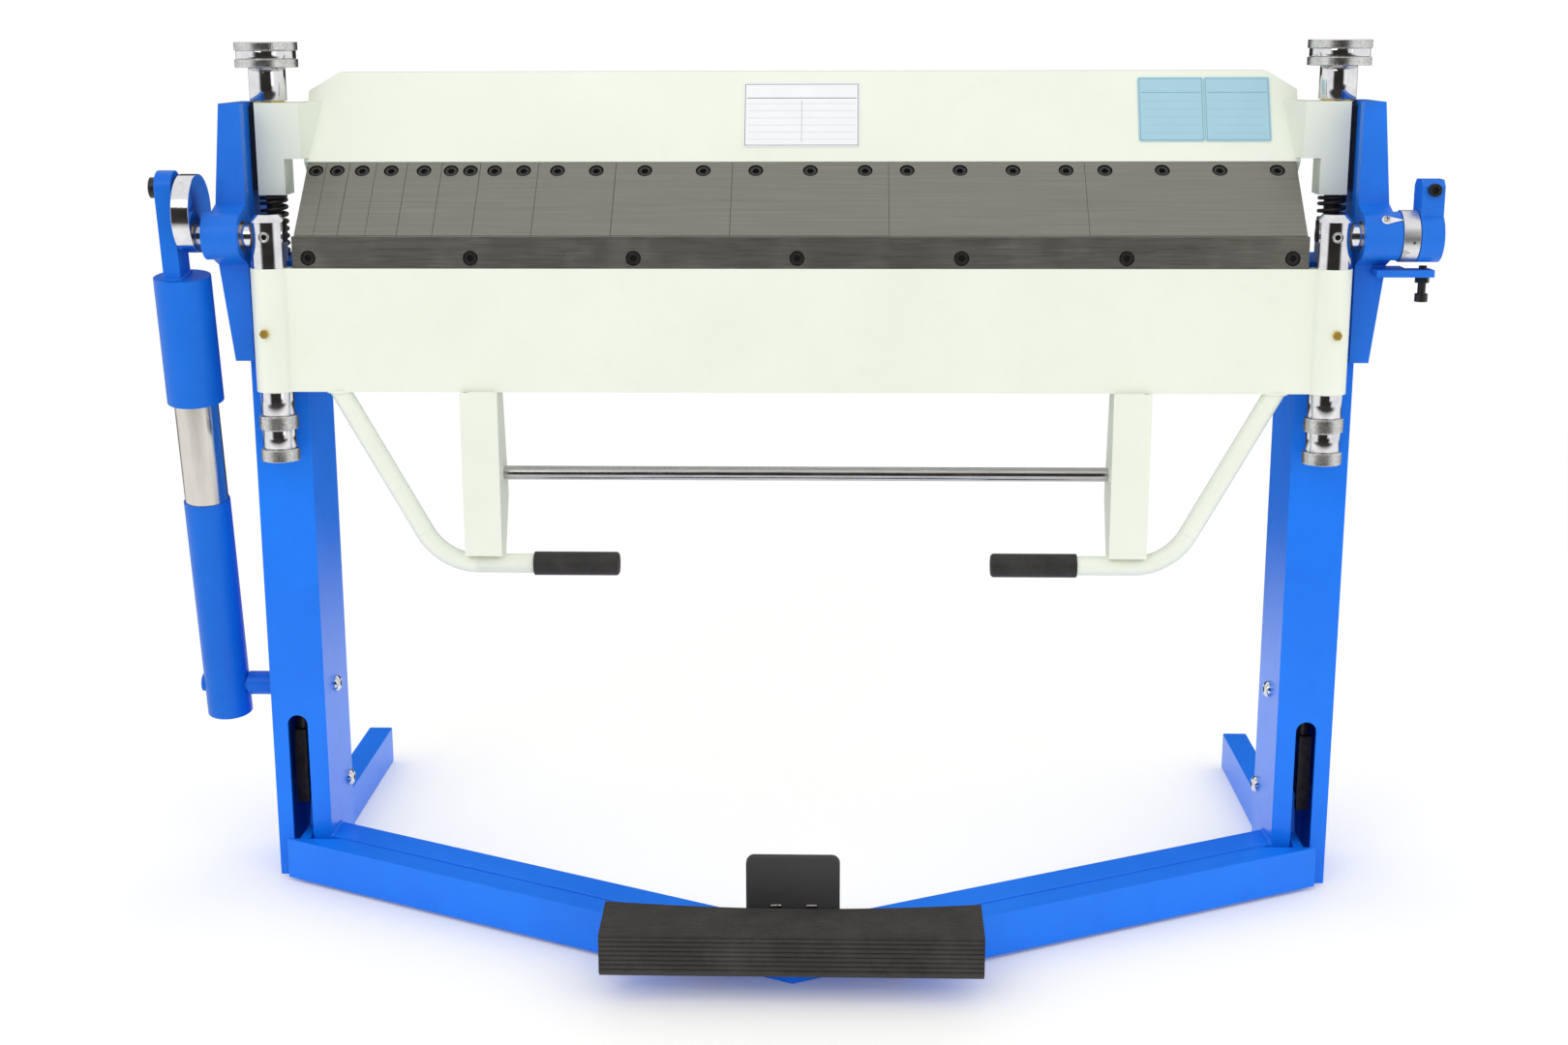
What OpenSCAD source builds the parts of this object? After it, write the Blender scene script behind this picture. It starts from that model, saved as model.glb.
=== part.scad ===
// Foot-clamped box and pan folding brake, 2.0 x 1270 mm class, shown closed with the pedal down.
// Millimetres. +X right, +Y to the rear, +Z up. Origin on the floor, under the middle of the bend line.

/* [Bend line] */
// Working width along the bend line
work_w = 1270; // [1180:5:1500]
// Height of the bend line above the floor
bend_z = 874; // [820:1:1000]
// Running gap between parts that meet along the bend line
run_gap = 0.3; // [0.2:0.1:0.6]

/* [Legs and floor frame] */
// Width of a leg tube
leg_w = 73; // [68:1:90]
// Depth of a leg tube
leg_d = 129; // [124:1:150]
// Wall of a leg tube
leg_wall = 5; // [4:0.5:6]
// Distance from the bend line back to the leg's front face
leg_front = 36; // [36:1:40]
// Drop from the bend line to the top of the leg
seat_drop = 36; // [36:1:40]
// Width of a rear foot tube
foot_w = 36; // [30:1:50]
// Length of a rear foot behind the leg
foot_len = 333; // [250:1:400]
// Height of the floor tubes
floor_h = 56; // [50:1:60]
// Wall of the floor tubes
floor_wall = 4; // [3:0.5:5]
// Width of the front stretcher tube
stretcher_w = 48; // [40:1:52]
// Reach of the front stretcher ahead of the bend line
stretcher_reach = 293; // [250:1:330]

/* [Bed] */
// Height of the bed box
bed_h = 140; // [110:1:160]
// Depth of the bed from front to back
bed_d = 140; // [120:1:160]
// Wall of the bed box
bed_wall = 8; // [6:1:12]
// Thickness of the bed's top plate
edge_t = 12; // [10:1:14]

/* [Side castings] */
// Thickness of a side casting's web
cast_t = 17; // [14:1:20]
// Height of a side casting above the bend line
cast_up = 163; // [150:1:175]
// Reach of a side casting below the bend line
cast_down = 162; // [140:1:180]
// Radius of the pivot boss
boss_r = 30; // [27:1:31]
// Wall of the bronze pivot bush
bush_wall = 4; // [3:0.5:6]

/* [Clamp beam] */
// Run of a finger's front face towards the rear
finger_run = 93; // [85:1:100]
// Rise of a finger's front face
finger_rise = 86; // [80:1:92]
// Thickness of a finger
finger_t = 28; // [24:1:30]
// Joint gap between two fingers
finger_gap = 0.4; // [0.2:0.1:1]
// Height of the beam's top above the bend line
beam_up = 199; // [185:1:210]
// Plate thickness of the beam
beam_wall = 10; // [8:1:12]
// Width of a lift lug
lug_w = 57; // [54:1:57]
// Diameter of a lift rod
rod_d = 20; // [16:1:22]
// Distance from the bend line back to the lift rods
rod_y = 100; // [98:1:102]
// Lift of the clamp beam at full pedal travel
lift = 25; // [20:1:30]

/* [Adjusters] */
// Diameter of the knurled adjuster rings
knob_d = 80; // [70:1:84]
// Diameter of the adjuster sleeve
sleeve_d = 46.7; // [40:0.1:50]
// Wire diameter of the lift springs
spring_wire = 5; // [3:0.5:6]
// Outside diameter of the lift springs
spring_d = 38; // [34:1:40]

/* [Apron] */
// Height of the apron's steel bar
bar_h = 40; // [36:1:44]
// Thickness of the apron bar
bar_t = 11.5; // [11:0.5:14]
// Height of the apron panel
panel_h = 157; // [140:1:180]
// Thickness of the apron panel
panel_t = 20; // [18:1:21]
// Diameter of the round bosses at the apron's ends
apron_boss_d = 50; // [48:1:54]
// Diameter of the hinge stud's head
stud_d = 48; // [44:1:48]
// Diameter of the hinge stud's shank
shank_d = 24; // [20:1:28]
// Diameter of the pivot pins
pin_d = 29; // [24:1:30]
// Sleeve diameter of the nuts under the apron
nut_d = 42.5; // [38:0.5:46]

/* [Apron handles] */
// Diameter of the handle tube
handle_d = 25; // [20:1:30]
// Drop from the apron panel to the handle tube
handle_drop = 227; // [200:1:260]
// Outside diameter of the grips
grip_d = 31; // [28:1:36]
// Length of a grip
grip_len = 109; // [90:1:130]
// Diameter of the hand bar
hand_bar_d = 18; // [12:1:22]
// Sideways offset of the handle set from the middle
handle_shift = 9; // [0:1:12]

/* [Crank and strut] */
// Radius of the crank disc
disc_r = 49; // [45:1:52]
// Thickness of the crank disc
disc_t = 22; // [16:1:22]
// Throw of the crank pin
crank_throw = 60; // [56:1:60]
// Thickness of the strut's lever
lever_t = 22; // [16:1:24]
// Outside diameter of the strut's upper tube
head_d = 72; // [68:1:74]
// Outside diameter of the strut's steel tube
tube_d = 56; // [52:1:56]
// Outside diameter of the strut's lower sleeve
strut_sleeve_d = 60; // [60:1:64]
// Height of the strut's lower pin
strut_pin_z = 255; // [250:1:270]

/* [Angle stop] */
// Radius of the stop arm's hub and of the graduated ring
hub_r = 32; // [30:1:32]
// Width of the stop arm
arm_w = 38; // [32:1:40]
// Thickness of the stop arm
arm_t = 28; // [24:1:30]
// Reach of the stop arm above the pivot
arm_up = 70; // [60:1:80]

/* [Pedal] */
// Height of the pedal pivot above the floor
pedal_z = 101; // [98:1:110]
// Distance from the pedal pivot forward to the rod pin
pedal_crank = 46; // [42:1:48]
// Width of the pedal tubes
pedal_w = 35; // [30:1:40]
// Clear gap between the pedal and the front stretcher
pedal_gap = 12; // [10:1:16]
// Width of the tread
tread_w = 456; // [400:1:500]

/* [Hidden] */
$fn = 64;

leg_blue = [0.10, 0.46, 0.92];
cast_blue = [0.16, 0.42, 0.80];
cream = [0.90, 0.93, 0.86];
ground_steel = [0.50, 0.50, 0.47];
chrome_grey = [0.78, 0.78, 0.80];
black_steel = [0.13, 0.13, 0.13];
rubber_grey = [0.20, 0.19, 0.18];
brass_tone = [0.72, 0.58, 0.22];

// Fits
bore_gap = 0.1;
hole_gap = 0.3;
weld_lap = 1;

// Legs and what lines up with them
leg_in = work_w / 2 + 1;
leg_out = leg_in + leg_w;
leg_mid = leg_in + leg_w / 2;
leg_back = leg_front + leg_d;
leg_top = bend_z - seat_drop;
slot_w = 27;
slot_x = leg_in + 39;
slot_top = 228;
guide_z = strut_pin_z;
guide_h = 40;
rod_x = leg_out - 25;
rod_r = rod_d / 2;
upper_bolt_r = 8;
pedal_y = rod_y + pedal_crank;
pedal_bolt_r = 8;
cast_bolt_r = 5;
cast_bolt_y = [leg_front + 22, leg_back - 22];
cast_bolt_z = [bend_z - 134, bend_z - 59];

// Bed
bed_front = 10;
bed_top = bend_z - run_gap - edge_t;
bed_end = leg_in - run_gap;

// Pivot line
pin_r = pin_d / 2;
bush_r = pin_r + bore_gap + bush_wall;
cast_in = leg_out - 10;
boss_out = leg_out + 36;
flange_depth = 16;
strip_t = 7;
strip_in = cast_in;

// Clamp beam
slope = atan(finger_rise / finger_run);
lean = [-sin(slope), cos(slope)];
finger_top = [finger_run, bend_z + finger_rise];
finger_back = [finger_top[0] - finger_t * lean[0], finger_top[1] - finger_t * lean[1]];
finger_heel = finger_back[0] - (finger_back[1] - bend_z) / tan(slope);
beam_foot = 16;
beam_end = work_w / 2 + 5.5;
beam_top = bend_z + beam_up;
beam_crest = finger_run + 57;
beam_back = beam_crest + 38;
front_rise = beam_top - finger_top[1] - 0.5;
front_run = beam_crest - finger_top[0] - 0.5;
front_tilt = atan(front_rise / front_run);
lug_out = beam_end + lug_w + 0.2;
lug_half = 22;
lug_low = bend_z + 45;
lug_step = bend_z + 91;
lug_top = bend_z + 162;
plate_w = 150;
plate_h = 89;
plate_t = 1.2;
plate_up = 20;
sign_w = 84;
sign_x = work_w / 2 - 199;
screw_down = 15;
screw_r = 5;
head_r = 8;
sink_r = 9.5;
sink_depth = 11;

// Fingers, left to right; the last one fills what the others leave
finger_w = [25, 30, 35, 40, 45, 50, 75, 100, 150, 200, 250];
function sum_to(v, n) = n <= 0 ? 0 : v[n - 1] + sum_to(v, n - 1);
last_w = work_w - sum_to(finger_w, len(finger_w));
widths = concat(finger_w, [last_w]);
function finger_x0(i) = -work_w / 2 + sum_to(widths, i);
function screw_count(w) = w < 48 ? 1 : w < 175 ? 2 : w < 225 ? 3 : 4;
function screw_pitch(w) = w < 175 ? w / 2 : w < 225 ? w * 0.35 : w * 0.27;
function screw_xs(i) =
    let (n = screw_count(widths[i]), mid = finger_x0(i) + widths[i] / 2)
    [for (k = [0 : n - 1]) mid + (k - (n - 1) / 2) * screw_pitch(widths[i])];

// Adjusters
sleeve_h = 42;
ring_h = 10.5;
knob_z = lug_top + 2;
ring_z = knob_z + sleeve_h;
lock_z = ring_z + ring_h + run_gap;
rod_top = lock_z + 2 * ring_h - 4;
rod_foot = pedal_z + 90;
spring_low = leg_top + run_gap;
spring_high = lug_low - run_gap;

// Apron
bar_top = bend_z - run_gap;
bar_front = -0.5 - bar_t;
bar_low = bend_z - bar_h;
panel_low = bar_low - panel_h;
panel_back = bar_front + panel_t;
lip_h = 24;
bar_screw_n = 7;
bar_screw_z = bar_low + 13;
stud_x = leg_in + 30.5;
stud_top = bend_z + 27;
lock_screw_x = stud_x + 5;
lock_screw_z = bend_z - 121;
shank_r = shank_d / 2;
nut_h = 31;
nut_ring_h = 18;
lock_h = 25;
lock_ring_h = 16;
nut_ring_d = nut_d + 6.5;
nut_top = panel_low - run_gap;
lock_top = nut_top - nut_h - nut_ring_h - run_gap;
stud_foot = lock_top - lock_h - lock_ring_h - 2;

// Apron handles
handle_top_x = work_w / 2 - 41;
handle_bend_r = 80;
handle_fall = 61.3;
handle_z = panel_low - handle_drop;
corner_x = handle_top_x - handle_drop / tan(handle_fall);
bend_cut = handle_bend_r * tan(handle_fall / 2);
grip_in = work_w / 2 - 393;
bracket_x = work_w / 2 - 221;
bracket_w = 48;
bracket_wall = 4;
hand_bar_y = 20;
hand_bar_z = panel_low - 111;

// Crank, strut and stop
disc_in = leg_out + 43;
disc_out = disc_in + disc_t;
disc_up = 28;
lever_gap = 6;
lever_in = disc_out + lever_gap;
lever_out = lever_in + lever_t;
strut_x = lever_in + 5;
strut_run = rod_y - 4;
strut_len = sqrt(pow(strut_run, 2) + pow(bend_z + crank_throw - strut_pin_z, 2));
strut_tilt = atan(strut_run / (bend_z + crank_throw - strut_pin_z));
strut_pin_r = 12;
lever_len = 113.75;
head_len = 167;
head_to = strut_len - lever_len;
head_from = head_to - head_len;
tube_to = head_from + 35;
sleeve_to = head_from - 137;
sleeve_down = 42;
sleeve_cap = 5;
collar_t = 15;
draw_r = 6;
draw_foot = 150;
strut_spring_r = 14;
strut_spring_turns = 16;
ring_in = boss_out + 0.5;
pointer_r = 6;
pointer_x = boss_out - 20;
ring_t = 20.5;
arm_in = ring_in + ring_t + 1;
arm_out = arm_in + arm_t;
stop_x = arm_in + 13;
stop_y = 5;
stop_thread_r = 5;
flange_top = bend_z - 41;
flange_t = 9;
stop_tip = bend_z - arm_w / 2 * sqrt(2) - stop_y - stop_thread_r - run_gap;

// Pedal and floor frame
stretcher_lap = 1.72;
v_slope = (stretcher_reach + leg_front + stretcher_lap) / leg_in;
v_angle = atan(v_slope);
pedal_low = 5;
pedal_top = 60;
pedal_back = stretcher_reach + pedal_gap / cos(v_angle);
pedal_front = pedal_back + pedal_w / cos(v_angle);
pedal_end_y = 14;
pedal_end_x = leg_out - 17;
pedal_in_x = 140;
arm_plate_x = slot_x - 11;
arm_plate_t = 12;
tread_front = pedal_front - 6;
tread_rear = 236;
tread_t = 6;
pad_t = 6;

// Helpers
module xcyl(x0, x1, y, z, r) {
    translate([min(x0, x1), y, z]) rotate([0, 90, 0]) cylinder(h = abs(x1 - x0), r = r);
}
module ycyl(x, y0, y1, z, r) {
    translate([x, y0, z]) rotate([-90, 0, 0]) cylinder(h = y1 - y0, r = r);
}
module zcyl(x, y, z0, z1, r) {
    translate([x, y, z0]) cylinder(h = z1 - z0, r = r);
}
// A block between two corners, whichever way round the x values are
module block(x0, x1, y0, y1, z0, z1) {
    translate([min(x0, x1), y0, z0]) cube([abs(x1 - x0), y1 - y0, z1 - z0]);
}
// Outline in (y, z) drawn out along x
module along_x(x0, x1) {
    translate([min(x0, x1), 0, 0]) rotate([90, 0, 90]) linear_extrude(abs(x1 - x0)) children();
}
// Outline in (x, z) drawn out along y
module along_y(y0, y1) {
    translate([0, y1, 0]) rotate([90, 0, 0]) linear_extrude(y1 - y0) children();
}
// Local frame on the fingers' sloped face, z pointing out of the face
module on_finger_face(x) {
    y = finger_top[0] - screw_down * cos(slope);
    z = finger_top[1] - screw_down * sin(slope);
    translate([x, y, z]) rotate([slope, 0, 0]) children();
}
// Local frame of the strut, z along its axis from the lower pin
module on_strut() {
    translate([-strut_x, strut_run, strut_pin_z]) rotate([strut_tilt, 0, 0]) children();
}
// Socket head screw, head resting at z = 0 and shank pointing down
module socket_screw(r, head, head_h, reach) {
    difference() {
        union() {
            cylinder(h = head_h, r = head);
            translate([0, 0, -reach]) cylinder(h = reach, r = r);
        }
        translate([0, 0, head_h - r]) cylinder(h = r + 1, r = r * 0.9, $fn = 6);
    }
}
// Round wire coil standing on z = 0
module coil(mean_r, wire, tall, turns, per_turn, sides) {
    n = turns * per_turn;
    climb = (tall - wire) / n;
    pts = [for (i = [0 : n], j = [0 : sides - 1])
        let (a = 360 * i / per_turn, b = 360 * j / sides, r = mean_r + wire / 2 * cos(b))
        [r * cos(a), r * sin(a), wire / 2 + climb * i + wire / 2 * sin(b)]];
    skin = [for (i = [0 : n - 1], j = [0 : sides - 1], k = [0, 1])
        let (a = i * sides + j, b = i * sides + (j + 1) % sides)
        k == 0 ? [a, a + sides, b] : [b, a + sides, b + sides]];
    ends = [[for (j = [0 : sides - 1]) j], [for (j = [sides - 1 : -1 : 0]) n * sides + j]];
    polyhedron(points = pts, faces = concat(skin, ends));
}

// Floor frame and legs
module leg(s) {
    color(leg_blue)
    difference() {
        block(s * leg_in, s * leg_out, leg_front, leg_back, 0, leg_top);
        block(s * (leg_in + leg_wall), s * (leg_out - leg_wall), leg_front + leg_wall,
            leg_back - leg_wall, -1, leg_top - 2 * leg_wall);
        block(s * (slot_x - slot_w / 2), s * (slot_x + slot_w / 2), leg_front - 1,
            leg_front + leg_wall + 1, -1, slot_top - slot_w / 2);
        ycyl(s * slot_x, leg_front - 1, leg_front + leg_wall + 1, slot_top - slot_w / 2, slot_w / 2);
        xcyl(s * (leg_in - 1), s * leg_mid, strut_run, guide_z, upper_bolt_r + hole_gap);
        xcyl(s * (leg_in - 1), s * (leg_out + 1), pedal_y, pedal_z, pedal_bolt_r + hole_gap);
        zcyl(s * rod_x, rod_y, leg_top - 3 * leg_wall, leg_top + 1, rod_r + 1);
        for (y = cast_bolt_y, z = cast_bolt_z)
            xcyl(s * leg_mid, s * (leg_out + 1), y, z, cast_bolt_r + hole_gap);
        if (s < 0) xcyl(s * leg_mid, s * (leg_out + 1), strut_run, strut_pin_z, strut_pin_r + bore_gap);
    }
}
module rear_feet() {
    color(leg_blue)
    for (s = [-1, 1]) difference() {
        block(s * (leg_mid - foot_w / 2 - 3), s * (leg_mid + foot_w / 2 - 3), leg_back,
            leg_back + foot_len, 0, floor_h);
        block(s * (leg_mid - foot_w / 2 - 3 + floor_wall), s * (leg_mid + foot_w / 2 - 3 - floor_wall),
            leg_back - 1, leg_back + foot_len - floor_wall, floor_wall, floor_h - floor_wall);
    }
}
// One limb of a floor V between two x values, given its front and back reach at the middle
module v_limb(s, front, back, x0, x1, z0, z1, y_max) {
    translate([0, 0, z0]) linear_extrude(z1 - z0) intersection() {
        polygon([[s * x0, v_slope * x0 - front], [s * x1, v_slope * x1 - front],
            [s * x1, v_slope * x1 - back], [s * x0, v_slope * x0 - back]]);
        translate([-2 * leg_out, -2 * leg_out]) square([4 * leg_out, 2 * leg_out + y_max]);
    }
}
module front_stretcher() {
    front = stretcher_reach;
    back = stretcher_reach - stretcher_w / cos(v_angle);
    skin = floor_wall / cos(v_angle);
    color(leg_blue)
    difference() {
        for (s = [-1, 1]) v_limb(s, front, back, 0, leg_in, 0, floor_h, leg_back);
        for (s = [-1, 1]) v_limb(s, front - skin, back + skin, 0, leg_in + 1, floor_wall,
            floor_h - floor_wall, leg_back);
    }
}

// Bed
module bed_beam() {
    color(cream)
    difference() {
        block(-bed_end, bed_end, bed_front, bed_front + bed_d, bed_top - bed_h, bed_top);
        block(-bed_end + bed_wall, bed_end - bed_wall, bed_front + bed_wall, bed_front + bed_d - bed_wall,
            bed_top - bed_h + bed_wall, bed_top - bed_wall);
    }
}
module bed_plate() {
    color(ground_steel)
    block(-work_w / 2, work_w / 2, run_gap, bed_front + bed_d, bed_top, bed_top + edge_t);
}

// Side castings with the pivot bosses
module casting_front(s) {
    polygon([[s * cast_in, bend_z - cast_down], [s * (leg_out + cast_t - 3), bend_z - cast_down],
        [s * (leg_out + 29), bend_z - 32], [s * (leg_out + 29), bend_z + 26],
        [s * (leg_out + cast_t), bend_z + cast_up], [s * cast_in, bend_z + cast_up]]);
}
module casting_side() {
    front = leg_front - flange_depth - 2;
    polygon([[front, bend_z - cast_down], [front, bend_z + cast_up], [leg_back - 40, bend_z + cast_up],
        [leg_back - 15, bend_z + 60], [leg_back - 15, bend_z - cast_down + 20],
        [leg_back - 35, bend_z - cast_down]]);
    polygon([[0, bend_z - boss_r], [front + 12, bend_z - boss_r - 14], [front + 12, bend_z + boss_r + 14],
        [0, bend_z + boss_r]]);
}
module side_casting(s) {
    front = leg_front - flange_depth - 2;
    color(cast_blue)
    difference() {
        union() {
            intersection() {
                along_x(s * cast_in, s * (leg_out + 40)) casting_side();
                along_y(-60, leg_back) casting_front(s);
            }
            xcyl(s * cast_in, s * boss_out, 0, bend_z, boss_r);
            if (s > 0) translate([0, 0, flange_top - flange_t]) linear_extrude(flange_t)
                polygon([[leg_out + 10, 40], [arm_in - 7, 40], [arm_in - 7, 13],
                    [arm_out - 5, 13], [arm_out - 5, -14], [leg_out + 10, -14]]);
        }
        // pocket that seats the casting on the leg
        block(s * (cast_in - 1), s * (leg_out + run_gap), leg_front - run_gap, leg_back + 1,
            bend_z - cast_down - 1, leg_top + run_gap);
        // pocket behind the front flange where the lug slides
        block(s * (cast_in - 1), s * (strip_in + strip_t), front + flange_depth, leg_back + 1,
            leg_top, bend_z + cast_up + 1);
        xcyl(s * (cast_in - 1), s * (boss_out + 1), 0, bend_z, bush_r + 0.05);
        for (y = cast_bolt_y, z = cast_bolt_z) {
            xcyl(s * leg_mid, s * (leg_out + 40), y, z, cast_bolt_r + hole_gap);
            xcyl(s * (leg_out + 12), s * (leg_out + 40), y, z, head_r + 1);
        }
        if (s > 0) zcyl(stop_x, stop_y, flange_top - flange_t - 1, flange_top + 1, stop_thread_r + bore_gap);
    }
}
module guide_strips() {
    color(black_steel)
    for (s = [-1, 1])
        block(s * strip_in, s * (strip_in + strip_t), rod_y - 18, rod_y + 18, lug_low + 6, bend_z + cast_up - 6);
}
module pivot_bushes() {
    color(brass_tone)
    for (s = [-1, 1]) difference() {
        xcyl(s * cast_in, s * boss_out, 0, bend_z, bush_r);
        xcyl(s * (cast_in - 1), s * (boss_out + 1), 0, bend_z, pin_r + 0.05);
    }
}
module casting_bolts() {
    color(black_steel)
    for (s = [-1, 1], y = cast_bolt_y, z = cast_bolt_z)
        translate([s * (leg_out + 12), y, z]) rotate([0, s * 90, 0])
            socket_screw(cast_bolt_r, head_r, 9, 12 + leg_wall + 4);
}
// Short bolts for the rod guides, and the bolts that the pedal turns on
module leg_bolts() {
    color(chrome_grey)
    for (s = [-1, 1]) {
        xcyl(s * (leg_in + 15), s * (leg_in - run_gap), strut_run, guide_z, upper_bolt_r);
        xcyl(s * (leg_in - 8), s * (leg_in - run_gap), strut_run, guide_z, upper_bolt_r + 3);
        xcyl(s * (leg_in - run_gap), s * (leg_out + run_gap), pedal_y, pedal_z, pedal_bolt_r);
        xcyl(s * (leg_in - 8), s * (leg_in - run_gap), pedal_y, pedal_z, pedal_bolt_r + 3);
        xcyl(s * (leg_out + 8), s * (leg_out + run_gap), pedal_y, pedal_z, pedal_bolt_r + 3);
    }
}
module rod_guides() {
    color(black_steel)
    for (s = [-1, 1]) difference() {
        block(s * (leg_in + leg_wall + run_gap), s * (leg_out - leg_wall - run_gap), rod_y - 24, rod_y + 24,
            guide_z - guide_h / 2, guide_z + guide_h / 2);
        zcyl(s * rod_x, rod_y, guide_z - guide_h, guide_z + guide_h, rod_r + bore_gap);
        xcyl(s * leg_in, s * (leg_in + 17), strut_run, guide_z, upper_bolt_r + bore_gap);
        if (s < 0) xcyl(s * (leg_out - 13), s * leg_out, strut_run, strut_pin_z, strut_pin_r + bore_gap);
    }
}
module strut_pin() {
    color(chrome_grey) {
        xcyl(-(leg_out - 11), -(strut_x + strut_sleeve_d / 2 + 3), strut_run, strut_pin_z, strut_pin_r);
        xcyl(-(leg_out + run_gap), -(strut_x - strut_sleeve_d / 2 - 1), strut_run, strut_pin_z, strut_pin_r + 4);
    }
}
module angle_pointer() {
    color("white")
    translate([0, 0, bend_z]) rotate([46, 0, 0]) translate([0, 0, boss_r + 0.1]) {
        linear_extrude(2) {
            polygon([[pointer_x, -pointer_r], [ring_in - run_gap, 0], [pointer_x, pointer_r]]);
            translate([pointer_x, 0]) circle(r = pointer_r);
        }
        translate([pointer_x, 0, 2]) cylinder(h = 2.5, r = 3.5);
    }
}
module stop_bolt() {
    color(black_steel) {
        zcyl(stop_x, stop_y, flange_top - flange_t - 22, stop_tip, stop_thread_r);
        translate([stop_x, stop_y, flange_top - flange_t - 8.3]) cylinder(h = 8, r = 9.2, $fn = 6);
        zcyl(stop_x, stop_y, flange_top - flange_t - 32, flange_top - flange_t - 22, 8);
    }
}

// Clamp beam
module beam_outline() {
    gap = run_gap;
    polygon([[finger_top[0] + 0.5, finger_top[1] + 0.5], [beam_crest, beam_top], [beam_back, beam_top],
        [beam_back, bend_z + 51], [beam_crest, bend_z + beam_foot],
        [finger_heel + beam_foot / tan(slope) + 2, bend_z + beam_foot],
        [finger_back[0] + 0.7, finger_back[1]]]);
}
module beam_void() {
    w = beam_wall;
    polygon([[finger_top[0] + w + 5, finger_top[1] + 6], [beam_crest + w * 0.6, beam_top - w],
        [beam_back - w, beam_top - w], [beam_back - w, bend_z + 60], [beam_crest - 14, bend_z + 60]]);
}
module clamp_beam() {
    shoulder = 38;
    color(cream)
    difference() {
        union() {
            intersection() {
                along_x(-beam_end, beam_end) beam_outline();
                along_y(0, beam_back + 1) polygon([[-beam_end - 1, bend_z], [beam_end + 1, bend_z],
                    [beam_end + 1, beam_top - 24], [beam_end - shoulder, beam_top],
                    [shoulder - beam_end, beam_top], [-beam_end - 1, beam_top - 24]]);
            }
            for (s = [-1, 1]) {
                block(s * beam_end, s * lug_out, rod_y - lug_half, rod_y + lug_half, lug_step, lug_top);
                block(s * (beam_end + 22), s * lug_out, rod_y - lug_half, rod_y + lug_half, lug_low, lug_step);
                // web that runs from the lug's front edge back to the sloped plate
                translate([0, 0, lug_step]) linear_extrude(lug_top - lug_step)
                    polygon([[s * (beam_end + 6), rod_y - lug_half], [s * beam_end, rod_y - lug_half],
                        [s * (beam_end - 24), beam_crest - 6], [s * (beam_end + 6), beam_crest - 6]]);
            }
        }
        along_x(shoulder - beam_end, beam_end - shoulder) beam_void();
        for (s = [-1, 1]) zcyl(s * rod_x, rod_y, lug_low - 1, lug_top + 1, rod_r + 0.2);
        for (i = [0 : len(widths) - 1], x = screw_xs(i))
            on_finger_face(x) translate([0, 0, -finger_t - 30]) cylinder(h = 40, r = screw_r + bore_gap);
    }
}
// A finger with its counterbored screw holes
module finger(i) {
    color(ground_steel)
    difference() {
        along_x(finger_x0(i) + finger_gap / 2, finger_x0(i) + widths[i] - finger_gap / 2)
            polygon([[0, bend_z], finger_top, finger_back, [finger_heel, bend_z]]);
        for (x = screw_xs(i)) on_finger_face(x) {
            translate([0, 0, -sink_depth]) cylinder(h = sink_depth + 1, r = sink_r);
            translate([0, 0, -finger_t - 1]) cylinder(h = finger_t, r = screw_r + hole_gap);
        }
    }
}
module finger_set_small() {
    for (i = [0 : 4]) finger(i);
}
module finger_screws() {
    color(black_steel)
    for (i = [0 : len(widths) - 1], x = screw_xs(i))
        on_finger_face(x) translate([0, 0, -sink_depth]) socket_screw(screw_r, head_r, 10, finger_t + 14);
}
// Lift rods, each ending in a slotted eye for the pedal's crank pin
module lift_rods() {
    slot_r = 7.2;
    travel = pedal_crank - sqrt(pow(pedal_crank, 2) - pow(lift, 2));
    color(ground_steel)
    for (s = [-1, 1]) difference() {
        union() {
            zcyl(s * rod_x, rod_y, rod_foot - 6, rod_top, rod_r);
            block(s * (rod_x - 6), s * (rod_x + rod_r), rod_y - 15, rod_y + travel + 15, pedal_z - 15, rod_foot);
        }
        block(s * (rod_x - 7), s * (rod_x + 2 * rod_r), rod_y, rod_y + travel, pedal_z - slot_r, pedal_z + slot_r);
        xcyl(s * (rod_x - 7), s * (rod_x + 2 * rod_r), rod_y, pedal_z, slot_r);
        xcyl(s * (rod_x - 7), s * (rod_x + 2 * rod_r), rod_y + travel, pedal_z, slot_r);
    }
}
module rod_collars() {
    color(brass_tone)
    for (s = [-1, 1]) difference() {
        zcyl(s * rod_x, rod_y, lug_top, knob_z - 0.1, 20.5);
        zcyl(s * rod_x, rod_y, lug_top - 1, knob_z + 1, rod_r + 0.2);
    }
}
module lift_springs() {
    color(black_steel)
    for (s = [-1, 1]) translate([s * rod_x, rod_y, spring_low])
        coil((spring_d - spring_wire) / 2, spring_wire, spring_high - spring_low, 10, 14, 8);
}
// Blank plates on the beam's sloped front
module blank_plates() {
    color("gainsboro")
    translate([0, finger_top[0] + 0.5, finger_top[1] + 0.5]) rotate([front_tilt, 0, 0])
        for (p = [[-plate_w / 2 + 3, plate_w, plate_up], [sign_x, sign_w, plate_up + 7],
            [sign_x + sign_w + 1, sign_w, plate_up + 7]])
            translate([p[0], p[2], 0.1]) cube([p[1], plate_h, plate_t]);
}

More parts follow.
